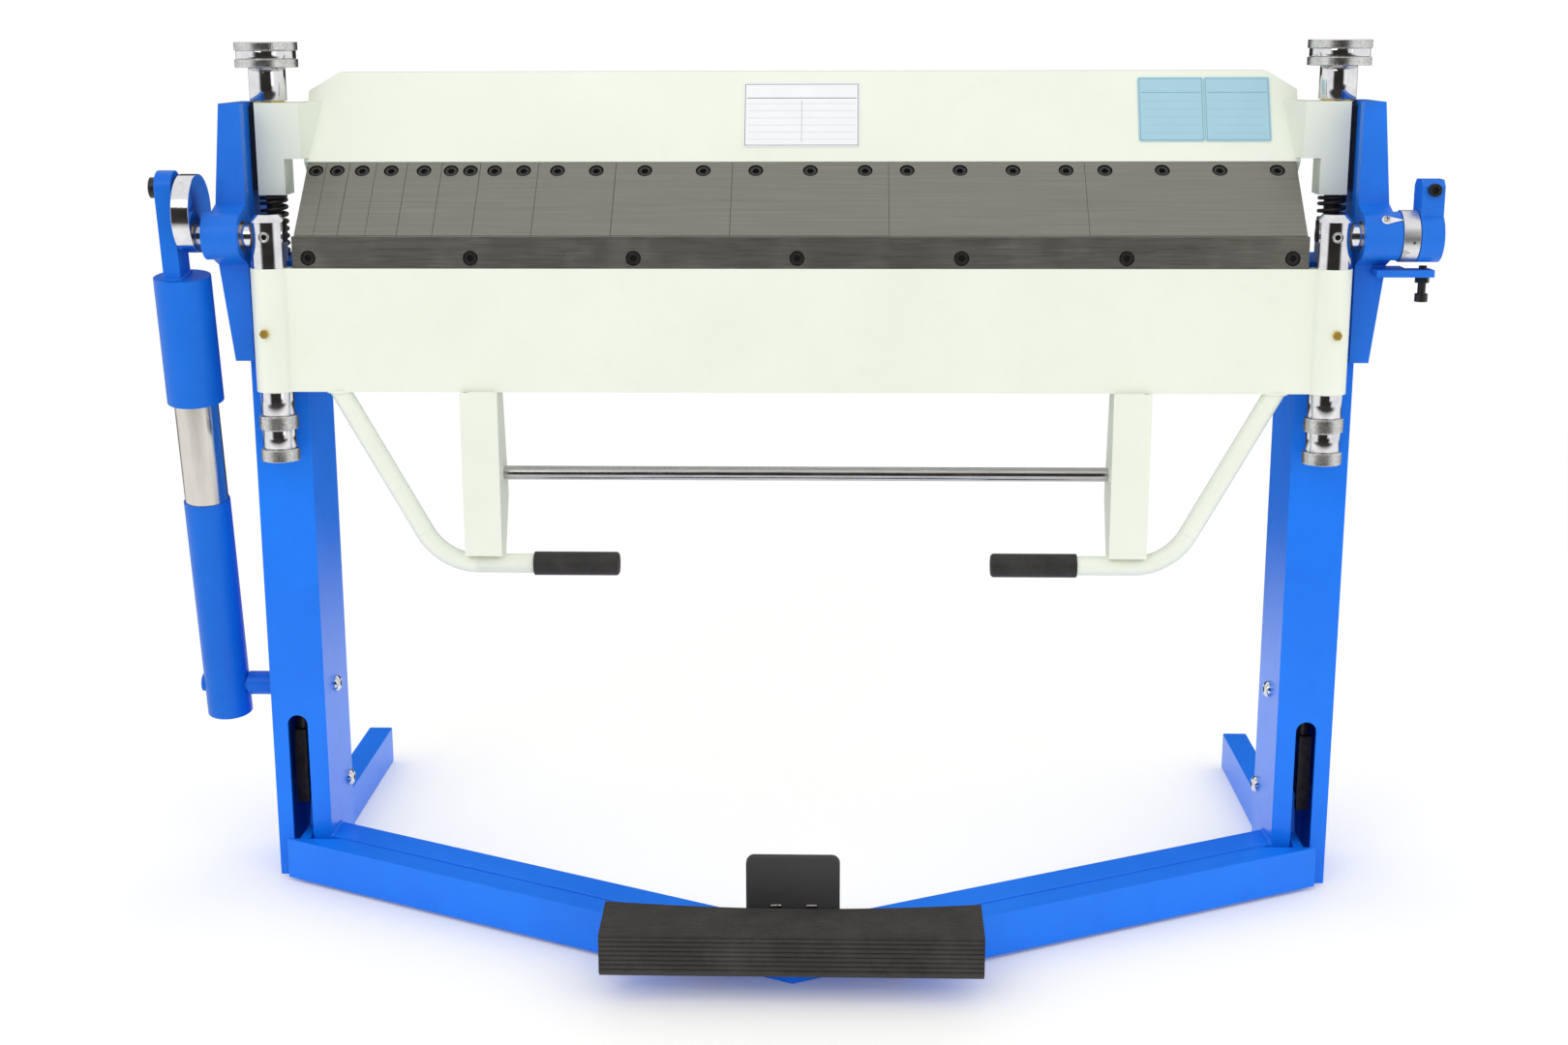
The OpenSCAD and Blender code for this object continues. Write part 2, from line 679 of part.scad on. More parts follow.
// Adjuster nuts on top of the lift rods
module adjuster_nut(s) {
    color(chrome_grey)
    difference() {
        union() {
            zcyl(s * rod_x, rod_y, knob_z, ring_z, sleeve_d / 2);
            zcyl(s * rod_x, rod_y, ring_z, ring_z + ring_h, knob_d / 2);
        }
        zcyl(s * rod_x, rod_y, knob_z - 1, ring_z + ring_h + 1, rod_r + bore_gap);
    }
}
module adjuster_lock(s) {
    color(chrome_grey)
    difference() {
        union() {
            zcyl(s * rod_x, rod_y, lock_z, lock_z + ring_h, knob_d / 2 - 2.3);
            zcyl(s * rod_x, rod_y, lock_z + ring_h, lock_z + 2 * ring_h, knob_d / 2);
        }
        zcyl(s * rod_x, rod_y, lock_z - 1, rod_top + 0.5, rod_r + bore_gap);
    }
}

// Apron
module apron_panel() {
    color(cream)
    difference() {
        union() {
            block(-stud_x, stud_x, bar_front, panel_back, panel_low, bar_low);
            block(-work_w / 2, work_w / 2, bar_front + bar_t, panel_back, bar_low, bar_low + lip_h);
            for (s = [-1, 1]) zcyl(s * stud_x, 0, panel_low, bar_low, apron_boss_d / 2);
        }
        for (s = [-1, 1]) {
            zcyl(s * stud_x, 0, panel_low - 1, bar_low + 1, shank_r + bore_gap);
            ycyl(s * lock_screw_x, -apron_boss_d, -shank_r + 2, lock_screw_z, 4 + bore_gap);
        }
        for (x = bar_screw_xs()) ycyl(x, bar_front, panel_back + 1, bar_screw_z, screw_r + bore_gap);
    }
}
function bar_screw_xs() =
    let (end = work_w / 2 - 20) [for (k = [0 : bar_screw_n - 1]) -end + 2 * end * k / (bar_screw_n - 1)];
module apron_bar() {
    color(ground_steel)
    difference() {
        block(-work_w / 2, work_w / 2, bar_front, bar_front + bar_t, bar_low, bar_top);
        for (x = bar_screw_xs()) {
            ycyl(x, bar_front - 1, bar_front + 8.5, bar_screw_z, sink_r);
            ycyl(x, bar_front, bar_front + bar_t + 1, bar_screw_z, screw_r + hole_gap);
        }
    }
}
module apron_bar_screws() {
    color(black_steel)
    for (x = bar_screw_xs()) translate([x, bar_front + 8.5, bar_screw_z]) rotate([90, 0, 0])
        socket_screw(screw_r, head_r, 8, panel_t - 9);
}
module hinge_stud(s) {
    bevel = 9;
    color(chrome_grey)
    difference() {
        union() {
            zcyl(s * stud_x, 0, bar_low, stud_top - bevel, stud_d / 2);
            translate([s * stud_x, 0, stud_top - bevel]) cylinder(h = bevel, r1 = stud_d / 2, r2 = stud_d / 2 - bevel);
            zcyl(s * stud_x, 0, stud_foot, bar_low, shank_r);
        }
        xcyl(s * (stud_x - stud_d), s * (stud_x + stud_d), 0, bend_z, pin_r + 0.05);
        // flat on the inner side
        block(s * (stud_x - stud_d), s * (stud_x - stud_d / 2 + 3), -stud_d, stud_d, bar_low - 1, stud_top + 1);
        ycyl(s * stud_x, -stud_d, -pin_r + 2, bend_z, 5 + bore_gap);
    }
}
module pivot_pins() {
    color(chrome_grey) {
        xcyl(-(stud_x - stud_d / 2 + 3), -disc_out, 0, bend_z, pin_r);
        xcyl(stud_x - stud_d / 2 + 3, arm_out, 0, bend_z, pin_r);
    }
}
// Black set screws in the stud heads, and the clamp screw of the stop arm
module set_screws() {
    color(black_steel) {
        for (s = [-1, 1]) difference() {
            ycyl(s * stud_x, -stud_d / 2 + 1, -pin_r, bend_z, 5);
            translate([s * stud_x, -stud_d / 2 + 4, bend_z]) rotate([90, 0, 0]) cylinder(h = 10, r = 3, $fn = 6);
        }
        translate([arm_in + arm_t / 2, -arm_w / 2 - 0.1, bend_z + arm_up - 12]) rotate([90, 0, 0])
            socket_screw(screw_r, head_r, 8, arm_w - 6);
    }
}
// Brass hexagon screws that lock the studs in the apron's bosses
module apron_fittings() {
    color(brass_tone)
    for (s = [-1, 1]) {
        translate([s * lock_screw_x, -apron_boss_d / 2 - bore_gap, lock_screw_z]) rotate([90, 0, 0])
            cylinder(h = 5.5, r = 6, $fn = 6);
        ycyl(s * lock_screw_x, -apron_boss_d / 2 - bore_gap, -shank_r - bore_gap, lock_screw_z, 4);
    }
}
// Handle tube and its bracket on one side, before the sideways offset
module handle_side(s) {
    fall = handle_fall;
    slant = (handle_drop - bend_cut * sin(fall)) / sin(fall) - bore_gap;
    difference() {
        translate([s * handle_top_x, 0, panel_low]) rotate([0, s * (270 - fall), 0])
            translate([0, 0, -handle_d]) cylinder(h = slant + handle_d, r = handle_d / 2);
        translate([s * handle_top_x, 0, panel_low + handle_d]) cube(2 * handle_d, center = true);
    }
    translate([s * (corner_x - bend_cut), 0, handle_z + handle_bend_r])
        rotate([90, 0, 0]) rotate([0, 0, s > 0 ? 270 : 270 - fall])
            rotate_extrude(angle = fall) translate([handle_bend_r, 0]) circle(d = handle_d);
    xcyl(s * (corner_x - bend_cut), s * (grip_in + 6), 0, handle_z, handle_d / 2);
    difference() {
        along_x(s * (bracket_x - bracket_w / 2), s * (bracket_x + bracket_w / 2))
            polygon([[-20, panel_low], [25, panel_low], [48, hand_bar_z - 20], [48, hand_bar_z - 38],
                [10, handle_z + 5], [-20, handle_z + 14]]);
        block(s * (bracket_x - bracket_w / 2 + bracket_wall), s * (bracket_x + bracket_w / 2 - bracket_wall),
            -20 + bracket_wall, 60, handle_z, panel_low + 1);
    }
}
module apron_handles() {
    color(cream)
    translate([handle_shift, 0, 0]) for (s = [-1, 1]) handle_side(s);
}
module hand_bar() {
    half = bracket_x - bracket_w / 2;
    color(chrome_grey)
    translate([handle_shift, 0, 0]) xcyl(-half, half, hand_bar_y, hand_bar_z, hand_bar_d / 2);
}
module handle_grips() {
    color(rubber_grey)
    translate([handle_shift, 0, 0]) for (s = [-1, 1]) difference() {
        xcyl(s * (grip_in - 2), s * (grip_in + grip_len), 0, handle_z, grip_d / 2);
        xcyl(s * (grip_in + 5.8), s * (grip_in + grip_len + 1), 0, handle_z, handle_d / 2 + bore_gap);
    }
}
module crank_disc() {
    color(chrome_grey)
    difference() {
        xcyl(-disc_in, -disc_out, 0, bend_z + disc_up, disc_r);
        xcyl(-disc_in + 1, -disc_out - 1, 0, bend_z, pin_r + 0.05);
    }
}
module graduated_ring() {
    color("silver")
    difference() {
        xcyl(ring_in, ring_in + ring_t, 0, bend_z, hub_r);
        xcyl(ring_in - 1, ring_in + ring_t + 1, 0, bend_z, pin_r + 0.05);
    }
}
module stop_arm() {
    corner = 8;
    color(cast_blue)
    difference() {
        union() {
            xcyl(arm_in, arm_out, 0, bend_z, hub_r);
            along_x(arm_in, arm_out) polygon([[-arm_w / 2, bend_z], [arm_w / 2, bend_z],
                [arm_w / 2, bend_z + arm_up - corner], [arm_w / 2 - corner, bend_z + arm_up],
                [corner - arm_w / 2, bend_z + arm_up], [-arm_w / 2, bend_z + arm_up - corner]]);
        }
        xcyl(arm_in - 1, arm_out + 1, 0, bend_z, pin_r + 0.05);
        ycyl(arm_in + arm_t / 2, -arm_w, arm_w / 2 - 5, bend_z + arm_up - 12, screw_r + bore_gap);
    }
}

// Nuts under the apron's bosses
module hinge_nut(s) {
    color(chrome_grey)
    difference() {
        union() {
            zcyl(s * stud_x, 0, nut_top - nut_h, nut_top, nut_d / 2);
            zcyl(s * stud_x, 0, nut_top - nut_h - nut_ring_h, nut_top - nut_h, nut_ring_d / 2);
        }
        zcyl(s * stud_x, 0, nut_top - 2 * nut_h, nut_top + 1, shank_r + bore_gap);
    }
}
module hinge_lock(s) {
    color(chrome_grey)
    difference() {
        union() {
            zcyl(s * stud_x, 0, lock_top - lock_h, lock_top, nut_d / 2);
            zcyl(s * stud_x, 0, lock_top - lock_h - lock_ring_h, lock_top - lock_h, nut_ring_d / 2);
        }
        zcyl(s * stud_x, 0, lock_top - 2 * lock_h, lock_top + 1, shank_r + bore_gap);
    }
}

// Counterbalance strut
module strut_head() {
    // upper tube with its cap, the lever welded on it, and the draw rod inside with its nut
    color(leg_blue)
    on_strut() {
        difference() {
            union() {
                translate([0, 0, head_from]) cylinder(h = head_len, r = head_d / 2);
                translate([-(lever_out - strut_x), -lever_t + 0.5, head_to - weld_lap])
                    cube([lever_t, 2 * lever_t - 1, lever_len + weld_lap]);
                xcyl(-(lever_out - strut_x), strut_x - lever_in, 0, strut_len, lever_t - 0.5);
            }
            translate([0, 0, head_from - 1]) cylinder(h = head_len - 7, r = tube_d / 2 + hole_gap);
            xcyl(-lever_t * 2, lever_t * 2, 0, strut_len, 9);
        }
        translate([0, 0, draw_foot]) cylinder(h = head_to - draw_foot - 4, r = draw_r);
        translate([0, 0, draw_foot]) cylinder(h = collar_t, r = 20);
    }
}
module strut_tube() {
    color(chrome_grey)
    on_strut() difference() {
        translate([0, 0, strut_pin_r + 4]) cylinder(h = tube_to - strut_pin_r - 4, r = tube_d / 2);
        translate([0, 0, 0]) cylinder(h = tube_to - collar_t, r = tube_d / 2 - leg_wall);
        cylinder(h = tube_to + 1, r = draw_r + hole_gap);
    }
}
module strut_sleeve() {
    color(leg_blue)
    on_strut() difference() {
        translate([0, 0, -sleeve_down]) cylinder(h = sleeve_down + sleeve_to, r = strut_sleeve_d / 2);
        translate([0, 0, sleeve_cap - sleeve_down])
            cylinder(h = sleeve_down + sleeve_to, r = tube_d / 2 + bore_gap);
        xcyl(-strut_sleeve_d, strut_sleeve_d, 0, 0, strut_pin_r + bore_gap);
    }
}
module strut_spring() {
    color(black_steel)
    on_strut() translate([0, 0, draw_foot + collar_t + run_gap])
        coil(strut_spring_r, spring_wire, tube_to - 2 * collar_t - draw_foot - 2 * run_gap,
            strut_spring_turns, 10, 6);
}
module crank_bolt() {
    pin_z = bend_z + crank_throw;
    color(black_steel) {
        xcyl(-(disc_out + run_gap), -(lever_out + 10), 0, pin_z, 8.9);
        xcyl(-(disc_out + run_gap), -(lever_in - run_gap), 0, pin_z, 13);
        xcyl(-(lever_out + run_gap), -(lever_out + 10), 0, pin_z, 13);
    }
}

// Pedal
module crank_outline() {
    translate([pedal_y, pedal_z]) circle(r = 12);
    translate([rod_y, pedal_z]) circle(r = 11);
    polygon([[pedal_end_y - weld_lap, pedal_low + 3], [pedal_end_y - weld_lap, pedal_top - 2],
        [rod_y - 25, pedal_top - 2], [rod_y - 8, pedal_z + 8], [pedal_y, pedal_z + 12],
        [pedal_y + 10, pedal_z - 6], [rod_y + 10, pedal_top], [rod_y - 10, pedal_low + 5]]);
}
module pedal_frame() {
    skin = 3.5;
    color(leg_blue)
    difference() {
        for (s = [-1, 1]) {
            difference() {
                v_limb(s, pedal_front, pedal_back, pedal_in_x, pedal_end_x, pedal_low, pedal_top, pedal_end_y);
                v_limb(s, pedal_front - skin, pedal_back + skin, pedal_in_x - 1, pedal_end_x - skin,
                    pedal_low + skin, pedal_top - skin, pedal_end_y - skin);
            }
            along_x(s * arm_plate_x, s * (arm_plate_x + arm_plate_t)) crank_outline();
            xcyl(s * arm_plate_x, s * (rod_x + rod_r), rod_y, pedal_z, 6);
        }
        for (s = [-1, 1]) xcyl(s * (arm_plate_x - 1), s * (arm_plate_x + arm_plate_t + 1), pedal_y, pedal_z,
            pedal_bolt_r + bore_gap);
    }
    // tread plate that bridges the two limbs
    color(black_steel) {
        block(-tread_w / 2, tread_w / 2, -tread_front, -tread_rear, pedal_top, pedal_top + tread_t);
        block(-tread_w / 2, tread_w / 2, -tread_front, -tread_front + tread_t, pedal_top - 28, pedal_top);
    }
}
module tread_pad() {
    top = pedal_top + tread_t + run_gap;
    color(rubber_grey)
    along_x(-tread_w / 2, tread_w / 2) polygon([[-tread_front - pad_t, pedal_top - 24],
        [-tread_front - run_gap, pedal_top - 24], [-tread_front - run_gap, top], [-262, top],
        [-262, pedal_top + 34], [-tread_front - pad_t, pedal_top + 25]]);
}
module release_plate() {
    w = 114;
    h = 84;
    r = 10;
    color(black_steel)
    along_y(-258, -248) translate([0, pedal_top + tread_t + 0.1]) {
        translate([-w / 2, 0]) square([w, h - r]);
        translate([-w / 2 + r, h - 2 * r]) square([w - 2 * r, 2 * r]);
        for (s = [-1, 1]) translate([s * (w / 2 - r), h - r]) circle(r = r);
    }
}

leg(-1);  // leg_left
leg(1);  // leg_right
rear_feet();
front_stretcher();
bed_beam();
bed_plate();
side_casting(-1);  // side_casting_left
side_casting(1);  // side_casting_right
guide_strips();
pivot_bushes();
casting_bolts();
leg_bolts();
rod_guides();
strut_pin();
angle_pointer();
stop_bolt();
clamp_beam();
finger_set_small();
finger(5);  // finger_50
finger(6);  // finger_75
finger(7);  // finger_100
finger(8);  // finger_150
finger(9);  // finger_200
finger(10);  // finger_250
finger(11);  // finger_270
finger_screws();
lift_rods();
rod_collars();
lift_springs();
blank_plates();
adjuster_nut(-1);  // adjuster_nut_left
adjuster_nut(1);  // adjuster_nut_right
adjuster_lock(-1);  // adjuster_lock_left
adjuster_lock(1);  // adjuster_lock_right
apron_panel();
apron_bar();
apron_bar_screws();
hinge_stud(-1);  // hinge_stud_left
hinge_stud(1);  // hinge_stud_right
pivot_pins();
set_screws();
apron_fittings();
apron_handles();
hand_bar();
handle_grips();
crank_disc();
graduated_ring();
stop_arm();
hinge_nut(-1);  // hinge_nut_left
hinge_nut(1);  // hinge_nut_right
hinge_lock(-1);  // hinge_lock_left
hinge_lock(1);  // hinge_lock_right
strut_head();
strut_tube();
strut_sleeve();
strut_spring();
crank_bolt();
pedal_frame();
tread_pad();
release_plate();
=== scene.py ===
import math
import bmesh
import bpy
from mathutils import Matrix, Vector


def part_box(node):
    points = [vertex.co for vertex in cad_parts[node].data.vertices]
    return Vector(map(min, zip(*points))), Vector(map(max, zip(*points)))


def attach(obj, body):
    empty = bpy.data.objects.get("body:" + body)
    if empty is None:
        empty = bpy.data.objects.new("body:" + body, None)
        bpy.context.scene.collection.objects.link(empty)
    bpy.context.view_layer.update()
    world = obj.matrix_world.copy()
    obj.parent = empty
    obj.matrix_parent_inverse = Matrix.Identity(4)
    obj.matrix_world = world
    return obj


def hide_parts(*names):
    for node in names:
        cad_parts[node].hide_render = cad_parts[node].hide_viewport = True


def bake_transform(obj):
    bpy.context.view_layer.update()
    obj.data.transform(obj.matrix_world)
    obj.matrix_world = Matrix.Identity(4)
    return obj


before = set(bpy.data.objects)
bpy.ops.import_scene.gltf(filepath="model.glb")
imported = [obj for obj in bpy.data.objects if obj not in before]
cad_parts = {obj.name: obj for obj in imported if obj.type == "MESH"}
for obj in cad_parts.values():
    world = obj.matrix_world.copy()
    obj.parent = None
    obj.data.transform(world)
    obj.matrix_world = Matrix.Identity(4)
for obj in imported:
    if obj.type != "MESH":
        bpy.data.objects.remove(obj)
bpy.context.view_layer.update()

mm = 0.001
tiny = 0.01 * mm  # two places that are closer than this count as one
box = {name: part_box(name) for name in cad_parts}
print("frame loaded:", len(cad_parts), "nodes")


# one socket of a shader: an expression on wires adds its Math nodes
class Wire:
    def __init__(self, finish, socket):
        self.finish = finish
        self.socket = socket

    def maths(self, operation, *values):
        return self.finish.node("Math", {"operation": operation}, dict(enumerate(values)))

    def __add__(self, other):
        return self.maths("ADD", self, other)

    def __sub__(self, other):
        return self.maths("SUBTRACT", self, other)

    def __mul__(self, other):
        return self.maths("MULTIPLY", self, other)

    def __truediv__(self, other):
        return self.maths("DIVIDE", self, other)

    __radd__ = __add__
    __rmul__ = __mul__

    def __rsub__(self, other):
        return self.maths("SUBTRACT", other, self)

    def __rtruediv__(self, other):
        return self.maths("DIVIDE", other, self)

    def __mod__(self, other):
        return self.maths("FLOORED_MODULO", self, other)

    def __pow__(self, other):
        return self.maths("POWER", self, other)

    def __gt__(self, other):
        return self.maths("GREATER_THAN", self, other)

    def __lt__(self, other):
        return self.maths("LESS_THAN", self, other)

    def __abs__(self):
        return self.maths("ABSOLUTE", self)

    def arctan2(self, other):
        return self.maths("ARCTAN2", self, other)

    def atMost(self, other):
        return self.maths("MINIMUM", self, other)

    def atLeast(self, other):
        return self.maths("MAXIMUM", self, other)

    # 0 below low, 1 above high, straight in between
    def ramp(self, low, high):
        values = {"Value": self, "From Min": low, "From Max": high}
        return self.finish.node("MapRange", {"clamp": True}, values)


def opaque(colour):
    return colour if isinstance(colour, Wire) else (*colour, 1.0)


def darker(colour, share):
    return tuple(share * part for part in colour)


class Finish:
    sockets = {"colour": "Base Color", "roughness": "Roughness", "metallic": "Metallic",
               "alpha": "Alpha", "normal": "Normal"}

    def __init__(self, name, metallic=0.0, coat=0.0, coatRoughness=0.1, specular=0.5):
        self.material = bpy.data.materials.new(name)
        self.material.use_nodes = True
        self.tree = self.material.node_tree
        self.shader = self.tree.nodes["Principled BSDF"]
        self.shader.inputs["Metallic"].default_value = metallic
        self.shader.inputs["Coat Weight"].default_value = coat
        self.shader.inputs["Coat Roughness"].default_value = coatRoughness
        self.shader.inputs["Specular IOR Level"].default_value = specular

    # any node: its settings first, then the values or wires of its sockets
    def node(self, kind, settings=None, values=None, out=0):
        made = self.tree.nodes.new("ShaderNode" + kind)
        for key, value in (settings or {}).items():
            setattr(made, key, value)
        for key, value in (values or {}).items():
            if isinstance(value, Wire):
                self.tree.links.new(value.socket, made.inputs[key])
            else:
                made.inputs[key].default_value = value
        return Wire(self, made.outputs[out])

    def place(self, stretch=(1, 1, 1)):
        here = self.node("TexCoord", out="Object")
        return self.node("VectorMath", {"operation": "MULTIPLY"}, {0: here, 1: stretch})

    def axes(self, source="Object"):
        here = self.node("TexCoord", out=source)
        return [self.node("SeparateXYZ", None, {0: here}, out=axis) for axis in "XYZ"]

    def noise(self, where, scale, detail=2.0, roughness=0.5):
        grain = {"Vector": where, "Scale": scale, "Detail": detail, "Roughness": roughness}
        return self.node("TexNoise", None, grain, out="Fac")

    def mix(self, share, first, second):
        colours = {0: share, 6: opaque(first), 7: opaque(second)}
        return self.node("Mix", {"data_type": "RGBA"}, colours, out=2)

    def bump(self, height, strength, distance):
        push = {"Height": height, "Strength": strength, "Distance": distance}
        return self.node("Bump", None, push)

    # dresses the shader with values or wires, and gives the material
    def wear(self, **values):
        for key, value in values.items():
            socket = self.shader.inputs[self.sockets[key]]
            if isinstance(value, Wire):
                self.tree.links.new(value.socket, socket)
            else:
                socket.default_value = opaque(value) if key == "colour" else value
        return self.material


# paints: peel is how fine the orange peel is, depth how deep, grime how much dirt shows
paints = {
    "legPaint": {"colour": (0.004, 0.200, 0.92), "shade": (0.003, 0.165, 0.82), "rough": 0.32, "coat": 0.16,
                 "specular": 0.22, "peel": 620.0, "depth": 0.10, "grime": 0.10},
    "strutPaint": {"colour": (0.006, 0.160, 0.72), "shade": (0.004, 0.130, 0.62), "rough": 0.36, "coat": 0.09,
                   "specular": 0.15, "peel": 520.0, "depth": 0.14, "grime": 0.14},
    "castingPaint": {"colour": (0.01, 0.185, 0.8), "shade": (0.007, 0.135, 0.64), "rough": 0.44, "coat": 0.07,
                     "specular": 0.22, "peel": 280.0, "depth": 0.95, "grime": 0.18},
    "blackPaint": {"colour": (0.05, 0.048, 0.048), "shade": (0.036, 0.034, 0.034), "rough": 0.50, "coat": 0.0,
                   "specular": 0.4, "peel": 500.0, "depth": 0.22, "grime": 0.05},
    "creamPaint": {"colour": (0.835, 0.875, 0.765), "shade": (0.795, 0.84, 0.72), "rough": 0.42, "coat": 0.15,
                   "specular": 0.5, "peel": 420.0, "depth": 0.16, "grime": 0.05},
    "pointerPaint": {"colour": (0.86, 0.87, 0.86), "shade": (0.78, 0.79, 0.78), "rough": 0.45, "coat": 0.1,
                     "specular": 0.5, "peel": 800.0, "depth": 0.08, "grime": 0.10},
}
# what all paints share
paintGrain = {"drift": 5.5, "driftRough": 0.10, "speck": 1500.0, "speckAbove": 0.735, "speckShare": 0.10,
              "speckColour": (0.9, 0.92, 0.95), "grime": 38.0, "grimeDark": 0.35, "peelTall": 0.6 * mm,
              "coatRough": 0.16}


def paintCoat(finish, look):
    shared = paintGrain
    here = finish.place()
    drift = finish.noise(here, shared["drift"], 4.0, 0.6)
    peel = finish.noise(here, look["peel"])
    speck = finish.noise(here, shared["speck"], 1.0) > shared["speckAbove"]
    grime = finish.noise(here, shared["grime"], 6.0, 0.7).ramp(0.55, 0.82) * look["grime"]
    colour = finish.mix(drift.ramp(0.3, 0.7), look["shade"], look["colour"])
    colour = finish.mix(grime, colour, darker(look["shade"], shared["grimeDark"]))
    colour = finish.mix(speck * shared["speckShare"], colour, shared["speckColour"])
    rough = look["rough"] + (drift - 0.5) * shared["driftRough"] + grime
    return colour, rough, finish.bump(peel, look["depth"], shared["peelTall"])


def paint(name):
    look = paints[name]
    finish = Finish(name, coat=look["coat"], coatRoughness=paintGrain["coatRough"], specular=look["specular"])
    colour, rough, bump = paintCoat(finish, look)
    return finish.wear(colour=colour, roughness=rough, normal=bump)


# steels: grain is how often the brush marks come in each axis, so a low number is a long mark
steels = {
    "groundSteel": {"colour": (0.265, 0.259, 0.224), "shade": (0.205, 0.200, 0.172), "rough": 0.34,
                    "grain": (7.0, 900.0, 900.0), "depth": 0.20},
    "barSteel": {"colour": (0.46, 0.445, 0.40), "shade": (0.31, 0.298, 0.262), "rough": 0.38,
                 "grain": (18.0, 700.0, 1300.0), "depth": 0.30},
    "chrome": {"colour": (0.80, 0.80, 0.82), "shade": (0.66, 0.66, 0.69), "rough": 0.075,
               "grain": (60.0, 60.0, 60.0), "depth": 0.02},
    "knurlSteel": {"colour": (0.74, 0.74, 0.72), "shade": (0.50, 0.50, 0.49), "rough": 0.26,
                   "grain": (300.0, 300.0, 300.0), "depth": 0.10},
    "barPolish": {"colour": (0.54, 0.53, 0.52), "shade": (0.40, 0.39, 0.38), "rough": 0.18,
                  "grain": (26.0, 500.0, 500.0), "depth": 0.08},
    "tubeSteel": {"colour": (0.70, 0.675, 0.63), "shade": (0.62, 0.595, 0.55), "rough": 0.17,
                  "grain": (240.0, 240.0, 14.0), "depth": 0.03},
    "brass": {"colour": (0.86, 0.60, 0.13), "shade": (0.66, 0.45, 0.09), "rough": 0.46,
              "grain": (200.0, 200.0, 200.0), "depth": 0.06},
    "bronze": {"colour": (0.55, 0.36, 0.15), "shade": (0.40, 0.25, 0.10), "rough": 0.35,
               "grain": (200.0, 200.0, 200.0), "depth": 0.06},
    # black steel for the screws and bolts, also used for the pointer screw's cross as painted shade of its
    # recess
    "blackSteel": {"colour": (0.030, 0.029, 0.028), "shade": (0.016, 0.015, 0.015), "rough": 0.36,
                   "grain": (260.0, 260.0, 260.0), "depth": 0.10, "metallic": 0.35},
    "springSteel": {"colour": (0.060, 0.050, 0.042), "shade": (0.030, 0.024, 0.020), "rough": 0.30,
                    "grain": (150.0, 150.0, 150.0), "depth": 0.10, "metallic": 0.35},
    "weldSteel": {"colour": (0.62, 0.61, 0.60), "shade": (0.25, 0.23, 0.22), "rough": 0.32,
                  "grain": (350.0, 350.0, 350.0), "depth": 0.35},
}
# what all steels share
steelGrain = {"smudge": 16.0, "smudgeRough": 0.10, "brushRough": 0.12, "brushTall": 0.3 * mm, "pit": 260.0,
              "pitAbove": 0.74, "pitShare": 0.22, "pitColour": (0.05, 0.045, 0.04)}


def steel(name):
    look, shared = steels[name], steelGrain
    finish = Finish(name, metallic=look.get("metallic", 1.0))
    brush = finish.noise(finish.place(look["grain"]), 1.0, 3.0, 0.6)
    here = finish.place()
    smudge = finish.noise(here, shared["smudge"], 5.0, 0.65)
    pit = finish.noise(here, shared["pit"]) > shared["pitAbove"]
    colour = finish.mix(brush.ramp(0.32, 0.68), look["shade"], look["colour"])
    colour = finish.mix(pit * shared["pitShare"], colour, shared["pitColour"])
    rough = look["rough"] + (brush - 0.5) * shared["brushRough"]
    rough = rough + smudge.ramp(0.45, 0.8) * shared["smudgeRough"]
    bump = finish.bump(brush, look["depth"], shared["brushTall"])
    return finish.wear(colour=colour, roughness=rough, normal=bump)


rubbers = {
    "treadRubber": {"colour": (0.029, 0.026, 0.024), "dust": (0.095, 0.088, 0.080), "rough": 0.60},
    "gripRubber": {"colour": (0.019, 0.018, 0.017), "dust": (0.075, 0.072, 0.066), "rough": 0.55},
}
# what both rubbers share
rubberGrain = {"dust": 24.0, "dustShare": 0.55, "dustRough": 0.2, "pore": 900.0, "poreShare": 0.15,
               "poreDepth": 0.35, "poreTall": 0.5 * mm}


def rubber(name):
    look, shared = rubbers[name], rubberGrain
    finish = Finish(name, specular=0.4)
    here = finish.place()
    dust = finish.noise(here, shared["dust"], 6.0, 0.7).ramp(0.42, 0.85)
    pore = finish.noise(here, shared["pore"])
    share = dust * shared["dustShare"] + pore.ramp(0.6, 0.8) * shared["poreShare"]
    colour = finish.mix(share, look["colour"], look["dust"])
    rough = look["rough"] + dust * shared["dustRough"]
    bump = finish.bump(pore, shared["poreDepth"], shared["poreTall"])
    return finish.wear(colour=colour, roughness=rough, normal=bump)


# blank plates: a border and ruled fields. wide and tall are the units that the rulings are drawn in
plateLooks = {
    "dataPlate": {"face": (0.86, 0.87, 0.88), "line": (0.10, 0.10, 0.12), "rows": 9.0, "split": 0.5,
                  "wide": 150.0, "tall": 89.0},
    "signPlate": {"face": (0.35, 0.585, 0.68), "line": (0.13, 0.33, 0.47), "rows": 8.0, "split": 0.0,
                  "wide": 84.0, "tall": 89.0},
}
# where the rulings lie, from the plate's edge or as a share of its height
rulings = {"border": (1.6, 2.5), "fieldIn": 6.0, "fieldTop": 0.72, "ruleWide": 0.45, "splitHalf": 0.35,
           "headerAt": 0.76, "headerHalf": 0.5, "headerIn": 4.0, "ruleInk": 0.5, "splitInk": 0.7}


